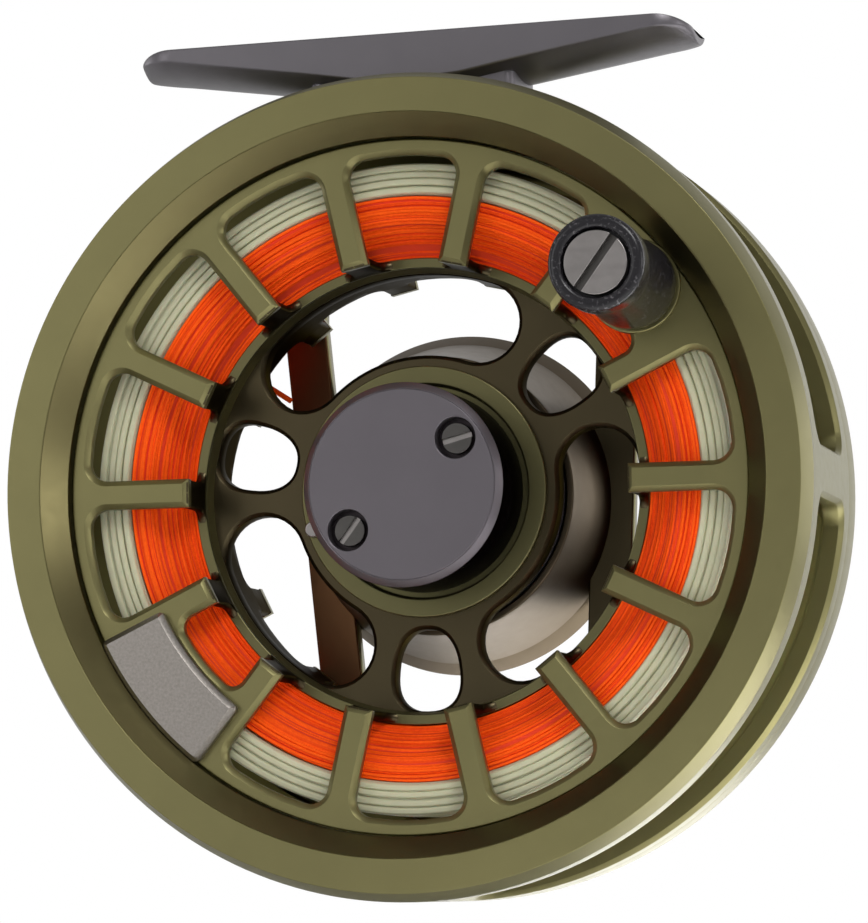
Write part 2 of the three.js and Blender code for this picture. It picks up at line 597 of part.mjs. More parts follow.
// ---------------------------------------------------------------- bearings
function bearing(name, innerR, outerR, y0, y1) {
  const wall = (outerR - innerR) * 0.28;
  const middle = (innerR + outerR) / 2;
  const ball = (outerR - innerR) / 2 - wall - 0.12;
  const y = (y0 + y1) / 2;
  add(`${name}_inner`, ring(innerR, innerR + wall, y0, y1), STEEL);
  add(`${name}_outer`, ring(outerR - wall, outerR, y0, y1), STEEL);
  const balls = new THREE.TorusGeometry(middle, ball, 6, SMALL).rotateX(Math.PI / 2).translate(0, y, 0);
  add(`${name}_balls`, balls, STEEL);
}
bearing('front_bearing', SPINDLE_R + GAP, 6, 14.3, 18.3);
bearing('rear_bearing', SHOULDER_R + GAP, 7, 22.4, 26.4);

// ---------------------------------------------------------------- centre cap and release latch
const slotted = (head, radius, y, depth) =>
  cut(head, box(-0.45, 0.45, y - 1, y + depth, -radius - 1, radius + 1));

function capGeometry() {
  const body = turned([
    [3.5, 4.2], [3.5, CAP_BASE_Y], [CAP_R, CAP_BASE_Y], [CAP_R, CAP_Y + 0.8], [CAP_FACE_R, CAP_Y],
    [2, CAP_Y], [2, 4.2],
  ], MEDIUM);
  const face = disc(3, CAP_Y, 4.2);
  const counterbores = [0, 180].map((turn) =>
    atAngle(disc(2.3, 0, 4.6, 16), CAP_SCREW_RADIUS, HANDLE_ANGLE + turn));
  const holes = [0, 180].map((turn) =>
    atAngle(disc(1.15, 0, 14, 12), CAP_SCREW_RADIUS, HANDLE_ANGLE + turn));
  const chamber = disc(6.5, LATCH_Y - 0.3, 14);
  const tabSlot = box(0, 14, LATCH_Y - 0.3, 14, -1.15, 1.15).rotateY(-rad(LATCH_ANGLE));
  const springSlot = box(0, 9.8, LATCH_Y - 0.6, 14, -1.15, 1.15).rotateY(-rad(LATCH_ANGLE + 180));
  return cut(join(body, face), ...counterbores, ...holes, chamber, tabSlot, springSlot);
}
add('center_cap', capGeometry(), BLACK_ANODISED);

[0, 180].forEach((turn, i) => {
  const blank = turnedSolid([
    [0, 3.2], [1.75, 3.2], [1.75, 4.5], [1, 4.5], [1, 16.6], [0, 16.6],
  ], 16);
  add(`cap_screw_${i + 1}`, atAngle(slotted(blank, 1.8, 3.2, 0.5), CAP_SCREW_RADIUS, HANDLE_ANGLE + turn),
    STEEL);
});

// A flat eye round the spindle with a round-ended thumb tab.
function latchGeometry() {
  const tabHalf = 0.9;
  const root = new THREE.Vector2(5.4, tabHalf);
  const tab = [-90, -45, 0, 45, 90].map((angle) => polar(tabHalf, angle).add(new THREE.Vector2(13.3, 0)));
  const eye = circlePath(4.9, 20).filter((p) => Math.abs(p.y) > tabHalf || p.x < 0);
  const shape = new THREE.Shape([...tab, root, ...eye, new THREE.Vector2(root.x, -tabHalf)]);
  const hole = [...[-90, -45, 0, 45, 90].map((a) => polar(3.2, a).add(new THREE.Vector2(LATCH_TRAVEL, 0))),
    ...[90, 135, 180, 225, 270].map((a) => polar(3.2, a))];
  shape.holes.push(new THREE.Path(hole));
  return plate(shape, LATCH_Y, LATCH_Y + LATCH_T).rotateY(-rad(LATCH_ANGLE));
}
add('release_latch', latchGeometry(), STEEL);
add('latch_spring', coil(0.75, 0.16, 5.1, 9.5, 4).rotateZ(-Math.PI / 2)
  .translate(0, LATCH_Y + LATCH_T / 2, 0).rotateY(-rad(LATCH_ANGLE + 180)), STEEL);

// ---------------------------------------------------------------- handle
const onHandleAxis = (geometry) => atAngle(geometry, HANDLE_RADIUS, HANDLE_ANGLE);
add('handle_post', onHandleAxis(turned([
  [0.9, -15.1], [1.9, -15.1], [1.9, FLANGE_Y - 0.7], [1.55, FLANGE_Y - 0.7], [1.55, 5.8], [0.9, 5.8],
], 16)), STEEL);
add('handle_bush', onHandleAxis(ring(2.05, 2.6, -14.6, HANDLE_BASE_Y - 0.1, 16)), BRASS);
add('handle_knob', onHandleAxis(turned([
  [2.75, HANDLE_BASE_Y], [4.7, HANDLE_BASE_Y], [4.98, HANDLE_BASE_Y - 0.4], [4.98, -0.5], [4.55, -5],
  [4.5, -8.5], [4.8, -12], [5.22, -14], [5.22, HANDLE_END_Y + 0.6], [4.7, HANDLE_END_Y],
  [3.7, HANDLE_END_Y], [3.7, -14.8], [2.75, -14.8],
], SMALL)), BLACK_PLASTIC);
const handleScrew = turnedSolid([
  [0, -16.4], [3.3, -16.4], [3.48, -16.2], [3.48, -15.2], [0.8, -15.2], [0.8, -4], [0, -4],
], 20);
add('handle_screw', onHandleAxis(slotted(handleScrew, 3.5, -16.4, 0.6)), STEEL);
add('handle_washer', onHandleAxis(ring(2.1, 4.6, HANDLE_BASE_Y + 0.1, FLANGE_Y - 0.75, SMALL)), ACETAL);

// ---------------------------------------------------------------- counterweight
const weightAngle = HANDLE_ANGLE + 180;
const weightBlank = cageSector(WEIGHT_INNER_R, WEIGHT_OUTER_R, weightAngle, WEIGHT_ARC,
  FLANGE_Y - WEIGHT_T, FLANGE_Y);
const weightHolesBlind = WEIGHT_SCREW_TURNS.map((turn) =>
  atAngle(disc(0.95, FLANGE_Y - 1, FLANGE_Y + 1, 10), WEIGHT_SCREW_RADIUS, weightAngle + turn));
add('counterweight', cut(weightBlank, ...weightHolesBlind), WEIGHT_STEEL);
WEIGHT_SCREW_TURNS.forEach((turn, i) => {
  const screw = disc(0.8, FLANGE_Y - 0.9, FLANGE_Y + FLANGE_T, 10);
  add(`weight_screw_${i + 1}`, atAngle(screw, WEIGHT_SCREW_RADIUS, weightAngle + turn), STEEL);
});

// ---------------------------------------------------------------- to the mounting frame
reel.position.set(0, -FOOT_Y, saddleDip(0) - FOOT_TOP);
export default reel;
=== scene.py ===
"""Looks of the fly reel: detailed pieces, procedural materials, camera, floor and studio light.

Pieces are laid out in millimetres round the spool's axis: x and z from the axis, and a depth behind
the cage's front face. Angles are in degrees from +X towards +Z. place() turns that into metres.
"""

import json
import math
import random

import bmesh
import bpy
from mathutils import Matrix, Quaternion, Vector


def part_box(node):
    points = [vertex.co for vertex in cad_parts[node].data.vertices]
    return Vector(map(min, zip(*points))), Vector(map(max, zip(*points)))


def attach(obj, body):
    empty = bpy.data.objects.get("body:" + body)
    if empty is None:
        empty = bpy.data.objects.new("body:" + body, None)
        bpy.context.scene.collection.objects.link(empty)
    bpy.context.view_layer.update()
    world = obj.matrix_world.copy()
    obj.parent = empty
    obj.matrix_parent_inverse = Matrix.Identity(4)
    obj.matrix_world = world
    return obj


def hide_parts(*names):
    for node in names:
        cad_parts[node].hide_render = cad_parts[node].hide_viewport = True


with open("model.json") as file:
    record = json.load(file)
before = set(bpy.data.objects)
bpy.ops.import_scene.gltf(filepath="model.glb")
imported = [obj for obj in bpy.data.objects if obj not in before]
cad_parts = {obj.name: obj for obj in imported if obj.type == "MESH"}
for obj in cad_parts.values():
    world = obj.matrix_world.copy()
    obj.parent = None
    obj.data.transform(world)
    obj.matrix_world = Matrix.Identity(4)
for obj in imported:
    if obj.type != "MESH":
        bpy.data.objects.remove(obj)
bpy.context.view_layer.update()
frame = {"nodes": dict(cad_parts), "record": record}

# ---------------------------------------------------------------- dimensions
MM = 0.001
FRAME_LOW, FRAME_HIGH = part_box("frame")
CAGE_R = (FRAME_HIGH.x - FRAME_LOW.x) / 2 / MM
AXIS_Z = FRAME_LOW.z + CAGE_R * MM
FRONT_Y = FRAME_LOW.y

CAGE_WIDTH = 32
CAGE_CHAMFER = 0.75
CAGE_TAPER, CAGE_TAPER_DEPTH = 0.94, 2.8  # the front ring's outer corner
FACE_INNER_R = 41.25
BORE_R = 38.85
LIP_DEPTH, LIP_THICKNESS = 2.8, 0.6
SLOT_FRONT, SLOT_BACK = 6.6, 23.5
SLOT_CORNER_R = 2.6
SLOT_MARGIN = 0.12  # between a ring and the slots beside it
WALL_FRONT, WALL_BACK = 3.4, 27
WALL_INNER_R = 43.2
WALL_SEAT_R = CAGE_R - 0.8  # the rings under the wall's two edges
SLOTS = ((108, 176.3), (183.7, 266.3), (273.7, 356.3), (363.7, 432))
BRIDGE_ENDS = (72, 108)
BRIDGE_OUTER_R, BRIDGE_INNER_R = CAGE_R - 1, 41.2
BACK_PLATE_Y = 28.7
BACK_PLATE_INNER_R = 33
BAR_WIDTH = 4.9
BAR_FLARE, BAR_FLARE_LENGTH = 2.2, 4.5
BARS = ((-19.1, -13.5), (20.3, 16.2))  # x at the top and at the bottom of the back's window

HANDLE_ANGLE = 37.7
HANDLE_RADIUS = 33.7
WINDOWS = 14
PITCH = 360 / WINDOWS
FLANGE_R = 38.7
FLANGE_PLATE_R = FLANGE_R - 0.1  # the plate's edge, just inside the rim's
FLANGE_Y, FLANGE_T = 3.8, 2.2
BACK_FLANGE_Y = 25.6
WINDOW_R, WINDOW_CORNER_R = 37.0, 4.6
SHORT_WINDOW_R, SHORT_WINDOW_CORNER_R = 30.2, 2
SPOKE_WIDTH = 3.2
SPOKE_CHAMFER = 0.6
ARBOR_INNER_R, ARBOR_R = 25.2, 26.2
ARBOR_Y, ARBOR_END_Y = 11, 21
FINGER_INSET = 0.4  # of the arbor's fingers behind each flange's outer face
FINGER_RADII = [1.7, 0.5, 0.5, 1.7]  # root, two at the end, root
WEB_Y, WEB_END_Y = 13, 16
WEB_ARMS = (0, 5, 9)  # in window pitches from the handle
OPENING_R, OPENING_HALF = 20.1, 4.6  # middle radius and half width of the web's openings
OPENING_GAP = 32.5  # degrees from an arm to the end of the next big opening
HUB_R = 14.2
BOSS_R = 5.25
CAP_Y, CAP_BASE_Y = 2.5, 13
CAP_SKIRT_Y = CAP_Y + 0.8  # where the bevel round the cap's face ends
CAP_R, CAP_FACE_R = 11.4, 10.6
CAP_SCREW_RADIUS = 7.9
CAP_BORE_R = 2.3
CAP_SCREW_R = 1.75
CAP_SLOT_ANGLES = (14, 52)
HEAD_CHAMFER = 0.12
LATCH_ANGLE = 196.5
LATCH_Y, LATCH_END_Y = 11.1, 12.1
LATCH_TIP_AT, LATCH_TIP_R = 13.3, 0.9
GRIP_R, GRIP_WAIST_R, GRIP_END_Y = 5.22, 4.5, -16.5
GRIP_SCREW_R, GRIP_SCREW_Y, GRIP_SLOT_ANGLE = 3.45, -16.35, 53
WEIGHT_OUTER_R, WEIGHT_INNER_R, WEIGHT_SPAN = 38.8, 30.9, 26.3
KNOB_Y, KNOB_END_Y, KNOB_R = 33.9, 41.5, 16.5
SCALLOP_PITCH, SCALLOP_HALF, SCALLOP_DEPTH = 30, 2.1, 0.8

LINE_OUTER_R, BACKING_OUTER_R = 36.4, 32.7
WINDING_FRONT_Y, WINDING_BACK_Y = 6.4, 25.2
WINDING_MIDDLE_Y = (WINDING_FRONT_Y + WINDING_BACK_Y) / 2
LINE_WIRE_R = 0.43
LINE_SIDE_WANDER, LINE_OUTER_WANDER = 0.09, 0.1
BACKING_WIRE_R, BACKING_WANDER = 0.2, 0.17
BACKING_CLOSENESS = 0.84  # spacing of the backing's turns, in strand widths
STRAND_STEPS = 180

FOOT_Y, FOOT_TOP = 17, 52.2
FOOT_HALF_LENGTH, FOOT_HALF_WIDTH = 32.3, 7
FOOT_END_LENGTH, FOOT_END_TAPER = 4.2, 3.9
SADDLE_DEPTH = 1.9
PAD_TOP = 44.2
PEDESTAL_HALF_LENGTH, PEDESTAL_HALF_WIDTH = 12, 5.2

VIEW_AZIMUTH, VIEW_ELEVATION, VIEW_ROLL = 14.17, -5.62, -1.54
VIEW_CENTRE = (4.23, 0.85, 2.13)
VIEW_DISTANCE = 0.5
VIEW_LENS = 177.5
FLOOR_DROP, FLOOR_HALF = 0.009, 0.4


def place(x, depth, z):
    """A point of the reel's own layout as a point of the row frame, in metres."""
    return Vector((x * MM, FRONT_Y + depth * MM, AXIS_Z + z * MM))


def polar(radius, degrees):
    angle = math.radians(degrees)
    return (radius * math.cos(angle), radius * math.sin(angle))


def turned_by(point, degrees):
    """An (x, z) point turned about the origin."""
    c, s = math.cos(math.radians(degrees)), math.sin(math.radians(degrees))
    return (point[0] * c - point[1] * s, point[0] * s + point[1] * c)


HANDLE_AT = polar(HANDLE_RADIUS, HANDLE_ANGLE)


# ---------------------------------------------------------------- outlines
def fillet(loop, radius, steps=5):
    """A closed outline with its corners rounded. radius is one number, or one per corner."""
    radii = radius if isinstance(radius, (list, tuple)) else [radius] * len(loop)
    out = []
    for i, corner in enumerate(loop):
        here = Vector(corner)
        back = Vector(loop[i - 1]) - here
        ahead = Vector(loop[(i + 1) % len(loop)]) - here
        half = back.angle(ahead) / 2
        if radii[i] == 0 or half > math.radians(87):
            out.append(tuple(here))
            continue
        reach = min(radii[i] / math.tan(half), back.length * 0.48, ahead.length * 0.48)
        start, end = here + back.normalized() * reach, here + ahead.normalized() * reach
        inward = (back.normalized() + ahead.normalized()).normalized()
        middle = here + inward * (reach / math.cos(half))
        a, b = start - middle, end - middle
        turn = math.atan2(a.x * b.y - a.y * b.x, a.dot(b))
        for k in range(steps + 1):
            angle = turn * k / steps
            c, s = math.cos(angle), math.sin(angle)
            out.append((middle.x + a.x * c - a.y * s, middle.y + a.x * s + a.y * c))
    return out


def circle(radius, sides=96, centre=(0, 0)):
    return [
        (centre[0] + p[0], centre[1] + p[1])
        for p in (polar(radius, 360 * i / sides) for i in range(sides))
    ]


def arc(radius, start, end, steps):
    return [polar(radius, start + (end - start) * i / steps) for i in range(steps + 1)]


# ---------------------------------------------------------------- meshes
def turned(profile, corner, sides=192, centre=(0, 0)):
    """A solid of revolution about a line along Y, from a closed (radius, depth) outline."""
    outline = fillet(profile, corner)
    bm = bmesh.new()
    rings = []
    for radius, depth in outline:
        if radius < 1e-6:
            rings.append([bm.verts.new(place(centre[0], depth, centre[1]))] * sides)
            continue
        points = circle(radius, sides, centre)
        rings.append([bm.verts.new(place(x, depth, z)) for x, z in points])
    for i, ring in enumerate(rings):
        following = rings[(i + 1) % len(rings)]
        for j in range(sides):
            k = (j + 1) % sides
            corners = list(dict.fromkeys((ring[j], ring[k], following[k], following[j])))
            if len(corners) > 2:
                bm.faces.new(corners)
    bmesh.ops.recalc_face_normals(bm, faces=bm.faces)
    return bm


def evaluated_mesh(holder):
    """A new mesh of an object as its curve settings and modifiers make it."""
    graph = bpy.context.evaluated_depsgraph_get()
    return bpy.data.meshes.new_from_object(holder.evaluated_get(graph))


def flat(loops, thickness, chamfer, steps=0):
    """A chamfered plate in the X-Y plane of its own mesh, centred on z = 0, in millimetres."""
    curve = bpy.data.curves.new("outline", "CURVE")
    curve.dimensions = "2D"
    curve.fill_mode = "BOTH"
    for loop in loops:
        spline = curve.splines.new("POLY")
        spline.points.add(len(loop) - 1)
        for point, (u, v) in zip(spline.points, loop):
            point.co = (u, v, 0, 1)
        spline.use_cyclic_u = True
    curve.extrude = thickness / 2 - chamfer
    curve.bevel_depth = chamfer
    curve.bevel_resolution = steps
    curve.offset = -chamfer
    holder = bpy.data.objects.new("outline", curve)
    bpy.context.scene.collection.objects.link(holder)
    mesh = evaluated_mesh(holder)
    bm = bmesh.new()
    bm.from_mesh(mesh)
    bpy.data.objects.remove(holder)
    bpy.data.curves.remove(curve)
    bpy.data.meshes.remove(mesh)
    bmesh.ops.remove_doubles(bm, verts=bm.verts, dist=0.002)
    return bm


def moved(bm, where):
    """The same mesh with each vertex taken through where(u, v, w), with its faces turned outwards."""
    for vertex in bm.verts:
        vertex.co = where(*vertex.co)
    bmesh.ops.recalc_face_normals(bm, faces=bm.faces)
    return bm


def plate(loops, y0, y1, chamfer, steps=0):
    """A plate across the spool's axis, from depth y0 to y1, of (x, z) outlines."""
    bm = flat(loops, y1 - y0, chamfer, steps)
    middle = (y0 + y1) / 2
    return moved(bm, lambda u, v, w: place(u, middle + w, v))


def bent(loops, outer_r, thickness, chamfer, start, slices=180):
    """A plate bent into a full ring: u runs round it in mm from the angle start, v is the depth.

    The plate is cut into slices first, and what lies past either end of the ring is cleared.
    """
    bm = flat(loops, thickness, chamfer)
    length = 2 * math.pi * outer_r
    for i in range(slices + 1):
        bmesh.ops.bisect_plane(
            bm, geom=bm.verts[:] + bm.edges[:] + bm.faces[:], dist=1e-4,
            plane_co=(length * i / slices, 0, 0), plane_no=(1, 0, 0),
            clear_inner=i == 0, clear_outer=i == slices,
        )
    centre_r = outer_r - thickness / 2

    def wrap(u, v, w):
        x, z = polar(centre_r + w, start + 360 * u / length)
        return place(x, v, z)

    moved(bm, wrap)
    bmesh.ops.remove_doubles(bm, verts=bm.verts, dist=0.003 * MM)
    bmesh.ops.recalc_face_normals(bm, faces=bm.faces)
    return bm


def joined(*meshes):
    """Several bmeshes as one."""
    whole = meshes[0]
    for other in meshes[1:]:
        spare = bpy.data.meshes.new("spare")
        other.to_mesh(spare)
        whole.from_mesh(spare)
        other.free()
        bpy.data.meshes.remove(spare)
    return whole


def level_normals(mesh):
    """Gives the corners round each flat face across the axis that face's own normal.

    The narrow rounded edges beside such a face then shade smoothly into it.
    """
    level = {}
    for face in mesh.polygons:
        if abs(face.normal.y) > 0.9999:
            for index in face.vertices:
                level[index] = face.normal.copy()
    normals = []
    for face in mesh.polygons:
        for corner in face.loop_indices:
            flat_normal = level.get(mesh.loops[corner].vertex_index)
            if flat_normal and flat_normal.dot(face.normal) > 0.6:
                normals.append(flat_normal)
            else:
                normals.append(mesh.corner_normals[corner].vector.copy())
    mesh.normals_split_custom_set(normals)


def add(name, bm, body, material, slot, nodes=(), edge=0.0, sharp=50):
    """Makes a piece from a bmesh: rounds its sharp edges by edge mm, sets its normals and its body."""
    mesh = bpy.data.meshes.new(name)
    bm.to_mesh(mesh)
    bm.free()
    mesh.materials.append(material)
    piece = bpy.data.objects.new(name, mesh)
    bpy.context.scene.collection.objects.link(piece)
    if edge:
        bevel = piece.modifiers.new("edge", "BEVEL")
        bevel.width = edge * MM
        bevel.segments = 2
        bevel.limit_method = "ANGLE"
        bevel.angle_limit = math.radians(35)
        mesh = evaluated_mesh(piece)
        piece.modifiers.clear()
        spare, piece.data = piece.data, mesh
        bpy.data.meshes.remove(spare)
        mesh.name = name
    mesh.shade_smooth()
    mesh.set_sharp_from_angle(angle=math.radians(sharp))
    level_normals(mesh)
    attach(piece, body)
    if nodes:
        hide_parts(*nodes)
    return piece


# ---------------------------------------------------------------- materials
def principled(name, colour, roughness, metallic, **sockets):
    """A new node material with constant values on its shader, and its nodes and links to build on."""
    material = bpy.data.materials.new(name)
    material.use_nodes = True
    tree = material.node_tree
    shader = tree.nodes["Principled BSDF"]
    shader.inputs["Base Color"].default_value = (*colour, 1)
    shader.inputs["Roughness"].default_value = roughness
    shader.inputs["Metallic"].default_value = metallic
    for label, value in sockets.items():
        shader.inputs[label.replace("_", " ")].default_value = value
    return material, tree, shader


def noise(tree, scale, detail=3.0, stretch=None):
    """A noise texture in object space, scale in features per metre, and the node's factor socket."""
    coordinates = tree.nodes.new("ShaderNodeTexCoord")
    texture = tree.nodes.new("ShaderNodeTexNoise")
    texture.inputs["Scale"].default_value = scale
    texture.inputs["Detail"].default_value = detail
    if stretch:
        mapping = tree.nodes.new("ShaderNodeMapping")
        mapping.inputs["Scale"].default_value = stretch
        tree.links.new(coordinates.outputs["Object"], mapping.inputs["Vector"])
        tree.links.new(mapping.outputs["Vector"], texture.inputs["Vector"])
    else:
        tree.links.new(coordinates.outputs["Object"], texture.inputs["Vector"])
    return texture.outputs["Fac"]


def vary_colour(tree, shader, factor, dark, light):
    mix = tree.nodes.new("ShaderNodeMix")
    mix.data_type = "RGBA"
    mix.inputs["A"].default_value = (*dark, 1)
    mix.inputs["B"].default_value = (*light, 1)
    tree.links.new(factor, mix.inputs["Factor"])
    tree.links.new(mix.outputs["Result"], shader.inputs["Base Color"])


def vary_roughness(tree, shader, factor, low, high):
    span = tree.nodes.new("ShaderNodeMapRange")
    span.inputs["To Min"].default_value = low
    span.inputs["To Max"].default_value = high
    tree.links.new(factor, span.inputs["Value"])
    tree.links.new(span.outputs["Result"], shader.inputs["Roughness"])


def add_bump(tree, shader, height, distance):
    bump = tree.nodes.new("ShaderNodeBump")
    bump.inputs["Distance"].default_value = distance
    tree.links.new(height, bump.inputs["Height"])
    tree.links.new(bump.outputs["Normal"], shader.inputs["Normal"])


def scaled(colour, factor):
    return tuple(min(1, c * factor) for c in colour)


def anodised(name, colour, roughness, grain=4e-6, metallic=0.85, coat=0.12, edge_tint=1.0):
    """Bead-blasted and anodised aluminium: a fine even grain and a faint cloudiness of colour."""
    material, tree, shader = principled(
        name, colour, roughness, metallic, Coat_Weight=coat, Coat_Roughness=0.35,
        Specular_Tint=(edge_tint, edge_tint, edge_tint, 1))
    vary_colour(tree, shader, noise(tree, 160), scaled(colour, 0.93), scaled(colour, 1.07))
    vary_roughness(tree, shader, noise(tree, 900), roughness - 0.04, roughness + 0.05)
    add_bump(tree, shader, noise(tree, 9000, 2), grain)
    return material


def brushed(name, colour, roughness):
    """Bare machined metal, with streaks along X and a faint cloudiness."""
    material, tree, shader = principled(name, colour, roughness, 1.0)
    streaks = noise(tree, 1500, 3, (0.12, 1, 1))
    vary_colour(tree, shader, noise(tree, 500), scaled(colour, 0.8), scaled(colour, 1.15))
    vary_roughness(tree, shader, streaks, roughness - 0.08, roughness + 0.14)
    add_bump(tree, shader, streaks, 2e-6)
    return material


def grained(name, colour, roughness):
    """Cast and blasted metal: a fine even speckle of light and dark grains."""
    material, tree, shader = principled(name, colour, roughness, 1.0)
    vary_colour(tree, shader, noise(tree, 3200, 4), scaled(colour, 0.66), scaled(colour, 1.34))
    vary_roughness(tree, shader, noise(tree, 900), roughness - 0.05, roughness + 0.08)
    add_bump(tree, shader, noise(tree, 4500, 3), 1.2e-5)
    return material


def speckled_plastic():
    """Black handle plastic with a fine pebble and scattered dust-like specks."""
    colour = (0.012, 0.011, 0.013)
    material, tree, shader = principled("knob_plastic", colour, 0.22, 0.0, Specular_IOR_Level=0.34)
    specks = tree.nodes.new("ShaderNodeValToRGB")
    specks.color_ramp.elements[0].position = 0.58
    specks.color_ramp.elements[0].color = (*colour, 1)
    specks.color_ramp.elements[1].position = 0.8
    specks.color_ramp.elements[1].color = (0.17, 0.16, 0.17, 1)
    tree.links.new(noise(tree, 2600, 4), specks.inputs["Fac"])
    tree.links.new(specks.outputs["Color"], shader.inputs["Base Color"])
    vary_roughness(tree, shader, noise(tree, 1500), 0.16, 0.3)
    add_bump(tree, shader, noise(tree, 5000, 3), 6e-6)
    return material


def rubber():
    colour = (0.012, 0.012, 0.012)
    material, tree, shader = principled("seal_rubber", colour, 0.75, 0.0)
    vary_colour(tree, shader, noise(tree, 600), colour, scaled(colour, 2))
    add_bump(tree, shader, noise(tree, 5000), 5e-6)
    return material


def moulded(name, colour, roughness):
    """A plain moulded or pressed engineering plastic."""
    material, tree, shader = principled(name, colour, roughness, 0.0)
    vary_colour(tree, shader, noise(tree, 400), scaled(colour, 0.85), scaled(colour, 1.1))
    vary_roughness(tree, shader, noise(tree, 1200), roughness - 0.06, roughness + 0.08)
    add_bump(tree, shader, noise(tree, 3500), 4e-6)
    return material


def strand_tones(tree, shader, dark, light, texture_scale):
    """A tone of its own for each strand, with a soft mottling along it."""
    island = tree.nodes.new("ShaderNodeNewGeometry")
    blend = tree.nodes.new("ShaderNodeMath")
    blend.operation = "MULTIPLY_ADD"
    blend.inputs[1].default_value = 0.55
    tree.links.new(island.outputs["Random Per Island"], blend.inputs[0])
    share = tree.nodes.new("ShaderNodeMath")
    share.operation = "MULTIPLY"
    share.inputs[1].default_value = 0.5
    tree.links.new(noise(tree, texture_scale, 3), share.inputs[0])
    tree.links.new(share.outputs[0], blend.inputs[2])
    vary_colour(tree, shader, blend.outputs[0], dark, light)


def dacron():
    """Braided fluorescent polyester: each strand has its own tone and a fine plait, and a faint painted
    glow from emission brightens it.
    """
    # painted light: the emission makes the backing glow, though it is no lamp
    material, tree, shader = principled(
        "backing_dacron", (1.0, 0.1, 0.004), 0.62, 0.0, Specular_IOR_Level=0.12,
        Emission_Color=(1.0, 0.06, 0.0, 1), Emission_Strength=0.09)
    strand_tones(tree, shader, (0.62, 0.018, 0.001), (1.0, 0.13, 0.005), 2500)
    add_bump(tree, shader, noise(tree, 7000, 2), 2.5e-5)
    return material


def line_coating():
    """Smooth sage fly line coating, a little waxy."""
    colour = (0.53, 0.52, 0.35)
    material, tree, shader = principled("line_pvc", colour, 0.4, 0.0, Subsurface_Weight=0.15,
                                        Subsurface_Scale=0.0006)
    strand_tones(tree, shader, scaled(colour, 0.74), scaled(colour, 1.1), 260)
    vary_roughness(tree, shader, noise(tree, 1500), 0.34, 0.48)
    add_bump(tree, shader, noise(tree, 3000), 5e-6)
    return material


# painted shade: settings for the darker copies of the anodising below, with no coat and fully metallic
SHADED_COPY = {"metallic": 1.0, "coat": 0.0}
OLIVE = anodised("olive_anodised", (0.187, 0.17, 0.07), 0.34)
# painted shade: the lip cone's copy of the olive, a little browner, with its edge reflections dimmed
LIP_DIMMED_OLIVE = anodised("lip_painted_shade_olive", (0.18, 0.158, 0.072), 0.33, grain=5e-7, edge_tint=0.35, **SHADED_COPY)
# painted shade: a darker copy of the olive for the recessed hub and arbor lip
OLIVE_HALF_SHADE = anodised("olive_half_painted_shade", (0.135, 0.124, 0.052), 0.34)
# painted shade: a much darker copy of the olive, with dimmed edge reflections, for the arbor, the web
# and the right bar deep inside
OLIVE_RECESS_SHADE = anodised("olive_recess_painted_shade", (0.072, 0.058, 0.032), 0.34, edge_tint=0.35, **SHADED_COPY)
# painted shade with a painted orange reflection: a darker, redder copy of the olive for the left bar's
# inner face
OLIVE_WARM_SHADE = anodised("olive_warm_painted_shade", (0.17, 0.085, 0.04), 0.4, edge_tint=0.3, **SHADED_COPY)
# the dome's fine grain and bare finish are its turned surface; its darker, browner colour is painted
# shade and a painted reflection of the brown interior
TURNED_DOME_SHADE = anodised("turned_dome_painted_shade", (0.14, 0.108, 0.07), 0.38, grain=3e-7, **SHADED_COPY)
FOOT_GREY = anodised("foot_anodised", (0.15, 0.14, 0.152), 0.4)
BLACK = anodised("black_anodised", (0.135, 0.122, 0.135), 0.4)
# painted shade: a near-black copy of the black anodising for the cap's side and the floor of its
# counterbores
BLACK_SHADE = anodised("black_painted_shade", (0.035, 0.03, 0.032), 0.3, edge_tint=0.3, **SHADED_COPY)
STEEL = brushed("steel", (0.3, 0.28, 0.27), 0.32)
# painted shade: a dark copy of the steel for the cap screws' polished halves and the floor of the
# handle screw's slot
STEEL_SHADE = brushed("steel_painted_shade", (0.1, 0.095, 0.09), 0.3)
WEIGHT = grained("weight_steel", (0.3, 0.275, 0.25), 0.36)
BRASS = brushed("brass", (0.62, 0.45, 0.18), 0.28)
PLASTIC = speckled_plastic()
CARBON = moulded("carbon", (0.02, 0.02, 0.022), 0.5)
RUBBER = rubber()
ACETAL = moulded("acetal", (0.72, 0.69, 0.62), 0.4)
DACRON = dacron()
# painted shade: a darker red for the backing's core, seen in the gaps between strands
DACRON_SHADE = moulded("dacron_painted_shade", (0.75, 0.035, 0.001), 0.8)
LINE = line_coating()
LOOKS = {
    "olive_anodised": OLIVE, "foot_anodised": FOOT_GREY, "black_anodised": BLACK, "steel": STEEL,
    "weight_steel": WEIGHT, "brass": BRASS, "knob_plastic": PLASTIC, "carbon": CARBON,
    "seal_rubber": RUBBER, "acetal": ACETAL, "backing_dacron": DACRON, "line_pvc": LINE,
}


def dress_cad_nodes():
    """Every CAD node takes the material of its slot."""
    for part in frame["record"]["subparts"]:
        mesh = frame["nodes"][part["node"]].data
        mesh.materials.clear()
        mesh.materials.append(LOOKS[part["material_slot"]])


